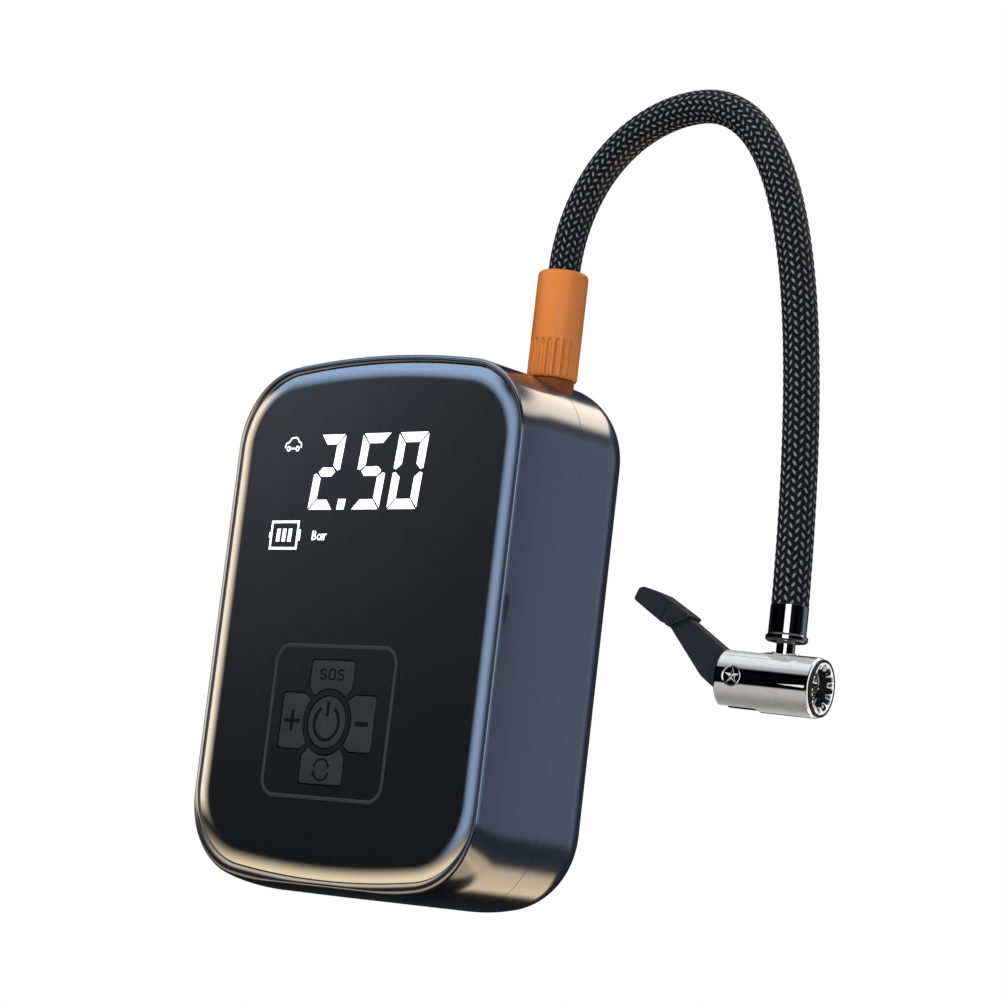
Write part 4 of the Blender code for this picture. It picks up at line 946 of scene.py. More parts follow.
def keypad_rib(mesh):
    """Thin raised rib around the keys, half round in section."""
    x0, x1, z0, z1, radius, width = -24.4, 16.5, 21.9, 59.4, 4.6, 0.95
    stations = []
    for k in range(7):
        turn = math.pi * k / 6
        stations.append((width / 2 * (1 - math.cos(turn)), LENS_FRONT - 0.16 * math.sin(turn)))
    stations += [(width, LENS_FRONT + 0.3), (0.0, LENS_FRONT + 0.3)]
    rings = []
    for off, y in stations:
        outline = rounded_box(x0 + off, x1 - off, z0 + off, z1 - off, radius - off, 10)
        rings.append([(x, y, z) for x, z in outline])
    loft(mesh, rings, loop=True)


piece("keypad_rib", keypad_rib, "rib", slot="key")


# ================================================================ flat marks
def stroke(points, width):
    """Outline of a polyline of constant width."""
    points = [Vector(point) for point in points]
    left, right = [], []
    for i, point in enumerate(points):
        before = points[max(0, i - 1)]
        along = (points[min(len(points) - 1, i + 1)] - before).normalized()
        normal = Vector((-along.y, along.x))
        scale = 1.0
        if 0 < i < len(points) - 1:
            arriving = (point - before).normalized()
            scale = 1.0 / max(0.5, Vector((-arriving.y, arriving.x)).dot(normal))
        left.append(tuple(point + normal * width / 2 * scale))
        right.append(tuple(point - normal * width / 2 * scale))
    return left + list(reversed(right))


def arc(x, z, radius, start, end, count=24):
    """Points of an arc between two angles in degrees."""
    turns = [math.radians(start + (end - start) * k / count) for k in range(count + 1)]
    return [(x + radius * math.cos(turn), z + radius * math.sin(turn)) for turn in turns]


def marks(name, shapes, finish, body, slot, front, back):
    """Flat inlays in one piece: a list is an outline, a pair of lists a loop (outer, inner)."""

    def build(mesh):
        for shape in shapes:
            if isinstance(shape, tuple):
                outer, inner = shape
                corners = ((outer, back), (outer, front), (inner, front), (inner, back))
            else:
                corners = ((shape, front), (shape, back))
            rings = [[(x, y, z) for x, z in outline] for outline, y in corners]
            loft(mesh, rings, loop=isinstance(shape, tuple))

    piece(name, build, finish, body, slot)


def key_marks(kind, shapes):
    front, back = KEY_FRONT - 0.04, KEY_FRONT + 0.15
    marks(f"icon_{kind}", shapes, "key_print", f"key_{kind}", "key", front, back)


def display_marks(name, shapes):
    front, back = LENS_FRONT - 0.035, LENS_FRONT + 0.12
    marks(name, shapes, "digits", "housing", "display", front, back)


# ================================================================ keys
KEY_BACK, KEY_BEVEL = -18.2, 0.16


def inset_outline(points, distance):
    """Moves each point of a closed outline inwards."""
    count = len(points)
    area = 0
    for i in range(count):
        here, after = points[i], points[(i + 1) % count]
        area += here.x * after.y - after.x * here.y
    sign = 1.0 if area > 0 else -1.0
    out = []
    for i, point in enumerate(points):
        edges = (point - points[i - 1], points[(i + 1) % count] - point)
        if min(edge.length for edge in edges) < 1e-9:
            out.append(point)
            continue
        first, second = [Vector((-edge.y, edge.x)).normalized() * sign for edge in edges]
        miter = first + second
        miter = miter / max(0.4, miter.dot(miter) / 2) if miter.length > 1e-6 else first
        out.append(point + miter * distance)
    return out


def key_slab(mesh, outline):
    """A key cap facing -Y with a small rounded front edge, drawn into an empty mesh."""
    points = [Vector(point) for point in outline]
    count = len(points)
    rings = [[(p.x, KEY_BACK, p.y) for p in points]]
    for k in range(4):
        turn = math.pi / 2 * k / 3
        y = KEY_FRONT + KEY_BEVEL * (1 - math.sin(turn))
        inset = inset_outline(points, KEY_BEVEL * (1 - math.cos(turn)))
        rings.append([(p.x, y, p.y) for p in inset])
    loft(mesh, rings, caps=False)
    verts = list(mesh.verts)
    # the hollow outlines need triangulated ends
    for row in (verts[:count], verts[-count:]):
        flat = [Vector((vert.co.x, vert.co.z)) for vert in row]
        edges = [(k, (k + 1) % count) for k in range(count)]
        filled = delaunay_2d_cdt(flat, edges, [], 1, 1e-6)
        source = [origins[0] for origins in filled[3]]
        for face in filled[2]:
            mesh.faces.new([row[source[k]] for k in face])


def key_cap(kind):
    stem_x, stem_z = KEYS[kind][3]

    def stem(mesh):
        profile = [(0, -18.8), (1.6, -18.8), (1.6, -17.6), (1.4, -17.4), (0, -17.4)]
        lathe(mesh, profile, "y", (KEY_Z + stem_z, KEY_X + stem_x), 32)

    piece(
        f"cap_{kind}", lambda mesh: key_slab(mesh, key_outline(kind)), "key", f"key_{kind}",
        replaces=f"key_{kind}", cuts=[(stem, "UNION")],
    )


for kind in KEYS:
    key_cap(kind)


def power_icon():
    ring = stroke(arc(KEY_X, KEY_Z - 0.2, 4.05, 122, 418, 48), 0.85)
    return [ring, stroke([(KEY_X, KEY_Z + 1.4), (KEY_X, KEY_Z + 5.0)], 0.95)]


def plus_icon():
    cross = [
        (-0.5, -2.6), (0.5, -2.6), (0.5, -0.45), (2.8, -0.45), (2.8, 0.45), (0.5, 0.45),
        (0.5, 2.6), (-0.5, 2.6), (-0.5, 0.45), (-2.8, 0.45), (-2.8, -0.45), (-0.5, -0.45),
    ]
    return [shifted(cross, KEY_X - 11.7, KEY_Z)]


def minus_icon():
    x = KEY_X + 11.6
    return [rounded_box(x - 2.2, x + 2.2, KEY_Z - 0.55, KEY_Z + 0.55, 0.15, 2)]


def mode_icon():
    """Two arcs with arrow heads."""
    z, radius = KEY_Z - 11.4, 2.55
    shapes = []
    for turn in (0.0, 180.0):
        shapes.append(stroke(arc(KEY_X, z, radius, 28 + turn, 168 + turn), 0.55))
        tip = math.radians(22 + turn)
        tip_x, tip_z = KEY_X + radius * math.cos(tip), z + radius * math.sin(tip)
        corners = [tip + math.radians(corner) for corner in (0, 125, 235)]
        shapes.append([(tip_x + 0.7 * math.cos(a), tip_z + 0.7 * math.sin(a)) for a in corners])
    return shapes


def letter_s(x, z, width, height):
    half, quarter = width / 2, height / 4

    def bowl(middle, turns):
        return [
            (x + half + half * math.cos(math.radians(t)), middle + quarter * math.sin(math.radians(t)))
            for t in turns
        ]

    return bowl(z + height - quarter, range(20, 241, 10)) + bowl(z + quarter, range(60, -161, -10))


def sos_icon():
    z, width, height, pen = KEY_Z + 10.35, 1.9, 2.35, 0.22
    letters = [stroke(letter_s(KEY_X + x, z, width, height), 0.44) for x in (-3.9, 2.0)]
    x = KEY_X - 0.95
    outer = rounded_box(x - pen, x + width + pen, z - pen, z + height + pen, 0.7, 5)
    inner = rounded_box(x + pen, x + width - pen, z + pen, z + height - pen, 0.35, 5)
    return letters + [(outer, inner)]


key_marks("power", power_icon())
key_marks("plus", plus_icon())
key_marks("minus", minus_icon())
key_marks("mode", mode_icon())
key_marks("sos", sos_icon())

# ================================================================ display graphics
DIGIT_Z0, DIGIT_Z1, BAR = 92.4, 111.1, 2.45


def digit(lit, x_top, x_bottom, width):
    """Slanted seven-segment figure with mitred, parted segments; lit names them."""
    gap, bar, mid = 0.34, BAR, (DIGIT_Z1 - DIGIT_Z0) / 2
    top = DIGIT_Z1 - DIGIT_Z0
    lean = (x_top - x_bottom) / top
    right = width - bar
    near, far = bar + gap * 0.4, right - gap * 0.4
    joint = mid + bar * 0.5 + gap  # inner corner beside the middle bar, from above
    under = mid - bar * 0.5 - gap  # and from below
    segments = {
        "a": [(gap, top), (width - gap, top), (far, top - bar), (near, top - bar)],
        "d": [(gap, 0), (near, bar), (far, bar), (width - gap, 0)],
        "f": [
            (0, top - gap), (bar, top - bar - gap), (bar, joint),
            (bar * 0.35, mid + gap), (0, mid + gap + 0.25),
        ],
        "b": [
            (width, top - gap), (width, mid + gap + 0.25), (width - bar * 0.35, mid + gap),
            (right, joint), (right, top - bar - gap),
        ],
        "e": [
            (0, gap), (0, mid - gap - 0.25), (bar * 0.35, mid - gap), (bar, under),
            (bar, bar + gap),
        ],
        "c": [
            (width, gap), (right, bar + gap), (right, under),
            (width - bar * 0.35, mid - gap), (width, mid - gap - 0.25),
        ],
        "g": [
            (bar * 0.45 + gap, mid), (bar + gap * 0.3, mid + bar * 0.46),
            (right - gap * 0.3, mid + bar * 0.46), (width - bar * 0.45 - gap, mid),
            (right - gap * 0.3, mid - bar * 0.46), (bar + gap * 0.3, mid - bar * 0.46),
        ],
    }
    return [[(x_bottom + x + lean * z, DIGIT_Z0 + z) for x, z in segments[name]] for name in lit]


def digit_shapes():
    """The figure 2, a point and 50."""
    shapes = digit("abged", x_top=-18.3, x_bottom=-20.1, width=8.5)
    shapes += digit("afgcd", x_top=-3.9, x_bottom=-5.5, width=9.5)
    shapes += digit("abcdef", x_top=8.1, x_bottom=6.6, width=9.7)
    point_top = DIGIT_Z0 + 2.6
    shapes.append([(-10.2, DIGIT_Z0), (-7.7, DIGIT_Z0), (-7.4, point_top), (-9.9, point_top)])
    return shapes


def battery_shapes():
    """Frame, three slanted bars and a small block at each end."""
    x0, x1, z0, z1, pen = -31.9, -22.2, 82.5, 89.7, 0.6
    shapes = [rectangle(x0, x0 + pen, z0, z1), rectangle(x1 - pen, x1, z0, z1)]
    for z in (z0, z1 - pen):
        shapes.append(rectangle(x0 + pen + 0.02, x1 - pen - 0.02, z, z + pen))
    for k in range(3):
        x = x0 + 2.1 + k * 2.0
        low, high = z0 + 2.0, z1 - 2.0
        shapes.append([(x, low), (x + 1.2, low), (x + 1.35, high), (x + 0.15, high)])
    mid = (z0 + z1) / 2
    shapes.append(rectangle(x1 + 0.04, x1 + 0.75, mid - 1.4, mid + 1.4))
    shapes.append(rectangle(x0 - 0.45, x0 - 0.04, mid - 0.7, mid + 0.7))
    return shapes


def car_shapes():
    """Little car, shrunk about its own middle."""
    left, base, pen = -30.9, 107.4, 0.36
    body = [
        (0, 0.5), (0.2, 1.7), (1.3, 2.1), (2.3, 3.3), (4.2, 3.4), (5.2, 2.2), (6.1, 1.8), (6.2, 0.5),
    ]

    def shrunk(points):
        return scaled(points, 0.9, left + 3.1, base + 1.7)

    shapes = [stroke(rounded(shrunk(shifted(body, left, base)), 0.35, 3, closed=False), pen)]
    shapes.append(stroke(shrunk(shifted([(2.35, 0.35), (3.8, 0.35)], left, base)), pen))
    for x in (1.4, 4.8):
        wheel = [shrunk(circle(radius, 24, left + x, base + 0.3)) for radius in (0.78, 0.38)]
        shapes.append(tuple(wheel))
    return shapes


def unit_shapes():
    """Small letters under the figures."""
    left, base = -17.4, 84.8
    # points from the lower left corner, stroke width
    strokes = [
        ([(0.25, 0), (0.25, 2.8)], 0.42),
        ([(0.52, 2.55), (1.2, 2.5), (1.45, 2.1), (1.2, 1.66), (0.52, 1.6)], 0.36),
        ([(0.52, 1.36), (1.3, 1.3), (1.6, 0.8), (1.3, 0.3), (0.52, 0.24)], 0.36),
        ([(4.1, 0), (4.1, 1.9)], 0.4),
        ([(4.85, 0), (4.85, 1.9)], 0.42),
        ([(5.08, 1.35), (5.4, 1.72), (5.8, 1.78)], 0.38),
    ]

    def shrunk(points):
        return scaled(points, 0.86, left, base)

    shapes = [shrunk(stroke(shifted(points, left, base), width)) for points, width in strokes]
    bowl = [shrunk(circle(radius, 20, left + 3.0, base + 0.95)) for radius in (0.92, 0.52)]
    shapes.insert(3, tuple(bowl))
    return shapes


display_marks("display_digits", digit_shapes())
display_marks("display_battery", battery_shapes())
display_marks("display_car", car_shapes())
display_marks("display_unit", unit_shapes())


# ================================================================ lamp window and charging port
def lamp(mesh):
    """Frosted window that follows the top's bow, with a crowned rim."""
    floor_z = 124.8
    rings = []
    # inset, drop below the housing's top (None for the flat underside)
    for inset, drop in ((0.0, None), (0.0, 0.45), (0.12, 0.22), (0.4, 0.08)):
        outline = rounded_box(
            -27.0 + inset, -17.0 - inset, 4.5 + inset, 9.1 - inset, 1.3 - inset * 0.5
        )
        ring = []
        for x, y in outline:
            top = Z_TOP - BOW_R + math.sqrt(BOW_R**2 - x * x)
            ring.append((x, y, floor_z if drop is None else top - drop))
        rings.append(ring)
    loft(mesh, rings)


piece("lamp_window", lamp, "clear", replaces="lamp_lens")


def port_outline(grow, half=3.0):
    """Upright stadium round the port's middle."""
    return stadium(
        PORT_Y - grow, PORT_Y + grow, PORT_Z - half - grow, PORT_Z + half + grow, steps=8
    )


def port(mesh):
    # x, grow: out along the outer wall, round the lip and back inside
    stations = [
        (-38.6, 1.5), (-46.9, 1.5), (-47.2, 1.42), (-47.4, 1.3),
        (-47.4, 1.22), (-47.2, 1.15), (-38.6, 1.15),
    ]
    loft(mesh, [[(x, y, z) for y, z in port_outline(grow)] for x, grow in stations], loop=True)


piece("port_shell", port, "steel", replaces="usb_port")


def port_tongue(mesh):
    """Contact tongue, and the plate that closes the port's inner end."""
    rings = []
    for x, width, thick in ((-38.8, 2.6, 0.35), (-46.2, 2.6, 0.35), (-46.5, 2.45, 0.2)):
        outline = rounded_box(
            PORT_Y - thick, PORT_Y + thick, PORT_Z - width, PORT_Z + width, 0.15, 3
        )
        rings.append([(x, y, z) for y, z in outline])
    loft(mesh, rings)
    plate = stadium(PORT_Y - 1.1, PORT_Y + 1.1, PORT_Z - 4.1, PORT_Z + 4.1, 8)
    prism(mesh, plate, "x", -38.7, -39.6)


piece("port_tongue", port_tongue, "dark_plastic")


# ================================================================ hose nut
FLUTES, FLUTE_POINTS = 20, 12


def nut(mesh):
    """Round sleeve over a grip of twenty flutes, each ending in a scallop."""
    count = FLUTES * FLUTE_POINTS
    low, high = NUT_LO.z, NUT_HI.z

    def groove(phase, z):
        """Depth of the flute, phase -1..1 across one flute."""
        across = max(0.0, 1 - (phase / 0.62) ** 2)
        end = low + 8.75 + 0.75 * math.sqrt(across)
        rise = max(0.0, min(1.0, (end - z) / 0.55))
        rise = rise * rise * (3 - 2 * rise)
        return 0.5 * across**0.7 * rise

    def ring(z, radius, fluted=False):
        out = []
        for k in range(count):
            phase = ((k % FLUTE_POINTS) / FLUTE_POINTS) * 2 - 1
            reach = radius - (groove(phase, z) if fluted else 0.0)
            turn = 2 * math.pi * k / count
            out.append((HOSE_X + reach * math.cos(turn), reach * math.sin(turn), z))
        return out

    fluted = [(low, NUT_R - 0.55), (low + 0.12, NUT_R - 0.25), (low + 0.45, NUT_R)]
    fluted += [(low + 0.45 + 7.4 * k / 8, NUT_R) for k in range(1, 9)]
    fluted += [(low + 7.85 + 1.9 * k / 12, NUT_R) for k in range(1, 13)]
    plain = [(low + 10.5, NUT_R), (high - 1.3, NUT_R)]
    for k in range(1, 6):
        turn = math.pi / 2 * k / 5
        plain.append((high - 1.3 + 1.3 * math.sin(turn), NUT_R - 0.9 * (1 - math.cos(turn))))
    plain += [(high, 4.55), (high - 0.35, 4.3), (low + 8.0, 4.3)]
    plain += [(low + 7.6, 4.95), (low + 0.3, 4.95), (low, 5.2)]
    rings = [ring(z, radius, fluted=True) for z, radius in fluted]
    rings += [ring(z, radius) for z, radius in plain]
    loft(mesh, rings, loop=True)


piece("grip_nut", nut, "orange", "nut", replaces="hose_nut", angle=42)


def socket_collar(mesh):
    """Low collar in the housing's mouth that the grip nut sits on, painted dark orange as shade under the nut."""
    seat = NUT_LO.z - 0.25
    profile = rectangle(3.78, 5.5, seat - 6.0, seat + 0.12)
    lathe(mesh, rounded(profile, [0.1, 0.1, 0.25, 0.1], 4), "z", (HOSE_X, 0.0), 72)


piece("socket_collar", socket_collar, "orange_painted_shade", slot="orange")


# ================================================================ hose
def bezier(points, share):
    rest = 1 - share
    return (
        points[0] * rest**3
        + points[1] * (3 * share * rest * rest)
        + points[2] * (3 * share * share * rest)
        + points[3] * share**3
    )


def hose_path():
    """Two cubic arcs in the XZ plane along the CAD hose's own axis."""
    start = Vector((HOSE_X, 0.0, NUT_HI.z - 1.0))
    apex = Vector((71.9, 0.0, 192.0))
    end = Vector((FERRULE_X, 0.0, FERRULE_HI.z))
    rise = (start, Vector((HOSE_X, 0.0, 178.1)), apex - Vector((18.8, 0, 0)), apex)
    fall = (apex, apex + Vector((29.3, 0, 0)), end + Vector((-1.3, 0, 66.2)), end)
    points = [Vector((HOSE_X, 0.0, NUT_LO.z + 9.0))]
    points += [bezier(rise, k / 200) for k in range(201)]
    points += [bezier(fall, k / 400) for k in range(1, 401)]
    points.append(end - Vector((0, 0, 0.6)))
    return points


PATH = hose_path()
LENGTHS = [0.0]
for point, after in zip(PATH, PATH[1:]):
    LENGTHS.append(LENGTHS[-1] + (after - point).length)
TOTAL = LENGTHS[-1]
PATH_X = np.array([point.x for point in PATH])
PATH_Z = np.array([point.z for point in PATH])

BRAID_COLUMNS, COLUMN_POINTS = 18, 6
ROW_STEP = 0.262
FLOAT_PITCH, COLUMN_WIDTH, FLOAT_LEAN = 2.0, 1.42, 31.0  # lean in degrees
FLOAT_HALF_LENGTH, FLOAT_HALF_WIDTH, FLOAT_HEIGHT = 1.62, 0.66, 0.36


def yarn_height(run, column):
    """Height of the slanted floats, 0 to 1, for each row along and each point round."""
    run, column = run[:, None], column[None, :]
    height = np.zeros((run.shape[0], column.shape[1]))
    for beside in (-1, 0, 1):
        lane = np.floor(column) + beside
        even = np.mod(lane, 2) == 0
        across = (column - (lane + 0.5)) * COLUMN_WIDTH
        lean = np.radians(FLOAT_LEAN) * np.where(even, 1.0, -1.0)
        phase = run / FLOAT_PITCH + np.where(even, 0.0, 0.5)
        for ahead in (-1, 0, 1):
            off = (phase - (np.floor(phase) + ahead + 0.5)) * FLOAT_PITCH
            along = off * np.cos(lean) + across * np.sin(lean)
            wide = -off * np.sin(lean) + across * np.cos(lean)
            dome = (along / FLOAT_HALF_LENGTH) ** 2 + (wide / FLOAT_HALF_WIDTH) ** 2
            height = np.maximum(height, np.sqrt(np.clip(1 - dome, 0, 1)))
    return height


def smoothed(values):
    return np.convolve(np.pad(values, 4, "edge"), np.ones(9) / 9, "valid")


def braid(name, start, stop):
    """Woven sleeve between two lengths along the hose, over a tight core."""
    count = BRAID_COLUMNS * COLUMN_POINTS
    stations = int(TOTAL / ROW_STEP)
    run = np.linspace(0.0, TOTAL, stations)
    x, z = np.interp(run, LENGTHS, PATH_X), np.interp(run, LENGTHS, PATH_Z)
    along_x, along_z = smoothed(np.gradient(x, run)), smoothed(np.gradient(z, run))
    norm = np.hypot(along_x, along_z)
    along_x, along_z = along_x / norm, along_z / norm
    first = int(round(start / TOTAL * (stations - 1)))
    last = int(round(stop / TOTAL * (stations - 1)))
    x, z, along_x, along_z, run = (v[first : last + 1] for v in (x, z, along_x, along_z, run))
    rows = len(run)

    share = np.clip((run - 17.0) / (TOTAL - 17.0), 0, 1)
    core = 3.85 + 0.3 * share - 0.30
    column = (np.arange(count) + 0.5) / COLUMN_POINTS
    height = yarn_height(run, column)
    radius = core[:, None] + FLOAT_HEIGHT * height
    turn = 2 * np.pi * column / BRAID_COLUMNS
    side = radius * np.cos(turn)[None, :]  # in the plane of the hose
    points_x = x[:, None] + side * -along_z[:, None]
    points_y = radius * np.sin(turn)[None, :]
    points_z = z[:, None] + side * along_x[:, None]
    verts = np.stack([points_x, points_y, points_z], -1).reshape(-1, 3) * MM_TO_M
    i = np.arange(rows - 1)[:, None] * count
    j = np.arange(count)[None, :]
    after = (j + 1) % count
    quads = np.stack([i + j, i + after, i + count + after, i + count + j], -1).reshape(-1, 4)
    # each end closes on a disc
    hub, end_row = len(verts), (rows - 1) * count
    hubs = [[x[k] * MM_TO_M, 0.0, z[k] * MM_TO_M] for k in (0, -1)]
    verts = np.concatenate([verts, hubs])
    faces = quads.tolist()
    faces += [(hub, (k + 1) % count, k) for k in range(count)]
    faces += [(hub + 1, end_row + k, end_row + (k + 1) % count) for k in range(count)]

    mesh = bpy.data.meshes.new(name)
    mesh.from_pydata(verts.tolist(), [], faces)
    mesh.update()
    draft = bmesh.new()
    draft.from_mesh(mesh)
    bmesh.ops.recalc_face_normals(draft, faces=draft.faces)
    draft.to_mesh(mesh)
    draft.free()
    values = np.concatenate([height.reshape(-1), np.zeros(2)]).astype(np.float32)
    mesh.attributes.new("yarn", "FLOAT", "POINT").data.foreach_set("value", values)
    mesh.shade_smooth()
    mesh.materials.append(MAT["braid"])
    obj = bpy.data.objects.new(name, mesh)
    bpy.context.scene.collection.objects.link(obj)
    return obj


nearest = int(np.argmin(np.hypot(PATH_X - BEND.x, PATH_Z - BEND.z)))
BEND_DIR = (PATH[nearest + 4] - PATH[nearest - 4]).normalized()
# the first length, up to the point farthest behind the bend, always stays with the nut
ahead_of_bend = [(point - BEND).dot(BEND_DIR) for point in PATH[:nearest]]
PARTING = LENGTHS[ahead_of_bend.index(min(ahead_of_bend))]
register(braid("hose_braid_root", 0.0, PARTING), "hose", "hose_upper")
sleeve = braid("hose_braid", PARTING, TOTAL)
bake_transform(sleeve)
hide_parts("hose_upper", "hose_lower")


def ferrule(mesh):
    """Sleeve on the hose's end with a ridged foot and a narrow neck into the chuck."""
    top = FERRULE_HI.z
    points = [
        (4.25, top - 0.02), (4.25, 67.55), (4.72, 67.15), (4.72, 66.35), (4.35, 65.95),
        (2.3, 65.8), (2.1, 65.4), (2.1, FERRULE_LO.z), (0.9, FERRULE_LO.z), (0.9, top - 0.5),
        (3.9, top - 0.5), (3.95, top),
    ]
    radii = [0.12, 0.3, 0.22, 0.25, 0.2, 0.25, 0.3, 0, 0, 0, 0.0, 0.1]
    lathe(mesh, rounded(points, radii), "z", (FERRULE_X, 0.0))


piece("ferrule", ferrule, "black_chrome", "hose_end", replaces="hose_ferrule", angle=50)


# ================================================================ chuck
BARREL_BACK, BARREL_FRONT, BARREL_R = -14.0, 8.7, 6.7
PIN_X, PIN_Z, PIN_R = -9.5, 0.2, 1.6


def chuck_piece(name, build, finish, **options):
    """A piece drawn in the chuck's own frame."""
    piece(name, build, finish, "hose_end", matrix=CHUCK_FRAME, **options)


def barrel(mesh):
    points = [
        (BARREL_R, BARREL_BACK), (BARREL_R, BARREL_FRONT), (5.7, BARREL_FRONT), (5.7, 2.9),
        (3.5, 2.9), (3.5, BARREL_BACK),
    ]
    lathe(mesh, rounded(points, [0.75, 0.42, 0.2, 0.1, 0.1, 0.3], 6), "x", count=128)


def slot_cut(mesh):
    """Slot for the lever, open at the back."""
    outline = rounded(rectangle(BARREL_BACK - 3, -4.2, -2.65, 2.65), [0, 1.2, 1.2, 0], 6)
    prism(mesh, outline, "z", -9.0, 9.0)


def pin_cut(mesh):
    """Pin hole with a wider seat at each end."""
    profile = [
        (0, -8), (2.3, -8), (2.3, -5.4), (PIN_R, -5.4), (PIN_R, 5.4), (2.3, 5.4), (2.3, 8), (0, 8),
    ]
    lathe(mesh, profile, "y", (PIN_Z, PIN_X), 64)


def inlet_cut(mesh):
    profile = [(0, 58.0), (2.4, 58.0), (2.4, 67.0), (0, 67.0)]
    lathe(mesh, profile, "z", (FERRULE_X, 0.0), 48)


chuck_piece(
    "chuck_barrel", barrel, "chrome_barrel", slot="chrome", replaces="chuck_body",
    cuts=[
        (slot_cut, "DIFFERENCE", CHUCK_FRAME),
        (pin_cut, "DIFFERENCE", CHUCK_FRAME),
        (inlet_cut, "DIFFERENCE"),
    ],
    cut_angle=35, flats=True,
)


def inlet_flange(mesh):
    """Small flange where the neck enters the barrel, following the barrel's round back."""
    count = 72
    to_chuck = CHUCK_FRAME.inverted()

    def ring(radius, lift):
        out = []
        for k in range(count):
            turn = 2 * math.pi * k / count
            point = Vector((FERRULE_X + radius * math.cos(turn), radius * math.sin(turn), 60.0))
            point = to_chuck @ point
            point.z = math.sqrt(max(0.0, (BARREL_R + lift) ** 2 - point.y**2))
            out.append(tuple(CHUCK_FRAME @ point))
        return out

    # radius, lift off the barrel
    stations = [(2.5, -0.3), (3.15, -0.3), (3.15, 0.08), (3.0, 0.24), (2.75, 0.3), (2.5, 0.24)]
    loft(mesh, [ring(*station) for station in stations], loop=True)


piece("inlet_flange", inlet_flange, "chrome", "hose_end")


def nose_ring(mesh):
    points = [
        (5.35, 9.0), (6.35, 9.0), (6.35, 9.75), (5.78, 9.75),
        (5.78, 9.25), (4.95, 9.25), (4.95, 6.4), (5.35, 6.4),
    ]
    radii = [0.05, 0.12, 0.3, 0.15, 0.05, 0.05, 0.1, 0.1]
    lathe(mesh, rounded(points, radii), "x", count=112)


chuck_piece("nose_ring", nose_ring, "rubber", replaces="chuck_front_ring")


def toothed_ring(mesh, count, stations):
    """Closed ring from (x, radius by point number) stations."""
    rings = []
    for x, radius in stations:
        ring = []
        for k in range(count):
            turn = 2 * math.pi * k / count
            ring.append((x, radius(k) * math.cos(turn), radius(k) * math.sin(turn)))
        rings.append(ring)
    loft(mesh, rings, loop=True)


def tooth(k, points, width):
    """0 between teeth to 1 on a tooth, points being the count for one tooth."""
    return math.exp(-((((k % points) / points - 0.5) / width) ** 4))


def mouth_teeth(mesh):
    """Crown of twelve bright radial teeth inside the black ring."""
    count, teeth = 240, 12

    def inner(k):
        return 5.3 - 1.2 * tooth(k, count // teeth, width=0.24)

    toothed_ring(mesh, count, [
        (8.6, lambda k: 5.4),
        (9.27, lambda k: 5.75),
        (9.55, lambda k: 5.75),
        (9.62, lambda k: 5.66),
        (9.58, lambda k: max(inner(k) + 0.12, 5.05)),
        (9.12, lambda k: inner(k) + 0.08),
        (8.95, inner),
        (8.6, inner),
    ])


chuck_piece("mouth_teeth", mouth_teeth, "chrome")


def jaw_teeth(mesh):
    """Eight clamping teeth with sloped faces inside a ring."""
    count, teeth = 192, 8

    def outer(k):
        return 5.4

    def shallow(k):
        return 4.72 - 0.45 * tooth(k, count // teeth, width=0.2)

    def deep(k):
        return 4.72 - 0.78 * tooth(k, count // teeth, width=0.2)

    stations = [(4.9, outer), (6.2, outer), (6.2, shallow), (5.8, deep), (5.2, deep), (4.9, shallow)]
    toothed_ring(mesh, count, stations)


chuck_piece("jaw_ring", jaw_teeth, "nickel", replaces="chuck_jaws")


def seal(mesh):
    points = [(5.3, 3.1), (5.3, 4.6), (3.6, 4.6), (2.3, 3.9), (2.3, 3.1)]
    lathe(mesh, rounded(points, [0.1, 0.15, 0.5, 0.25, 0.1]), "x", count=80)


chuck_piece("valve_gasket", seal, "rubber", replaces="chuck_seal")


def rivet(mesh):
    """Pin with two dark, slightly dished heads."""
    half = [
        (0, -6.30), (1.6, -6.32), (1.95, -6.36), (2.15, -6.24),
        (2.2, -6.05), (2.2, -5.7), (1.3, -5.6),
    ]
    profile = half + [(radius, -y) for radius, y in reversed(half)]
    lathe(mesh, profile, "y", (PIN_Z, PIN_X), 64)


chuck_piece("lever_rivet", rivet, "black_chrome", replaces="lever_pin", angle=50)


def rivet_stars(mesh):
    """A five pointed chrome burst on each head of the pin, ridged along its arms: a painted glint in a star shape.
    """
    for side in (-1.0, 1.0):
        rim, foot = [], []
        for k in range(10):
            turn = math.radians(90.0 + 36.0 * k)
            radius = 1.85 if k % 2 == 0 else 0.66
            x, z = PIN_X + radius * math.cos(turn), PIN_Z + radius * math.sin(turn)
            rim.append(mesh.verts.new((x, side * 6.4, z)))
            foot.append(mesh.verts.new((x, side * 6.1, z)))
        peak = mesh.verts.new((PIN_X, side * 6.78, PIN_Z))
        root = mesh.verts.new((PIN_X, side * 6.1, PIN_Z))
        for k in range(10):
            j = (k + 1) % 10
            mesh.faces.new((rim[k], rim[j], peak))
            mesh.faces.new((foot[k], foot[j], rim[j], rim[k]))
            mesh.faces.new((foot[j], foot[k], root))


chuck_piece("rivet_stars", rivet_stars, "chrome", angle=20)


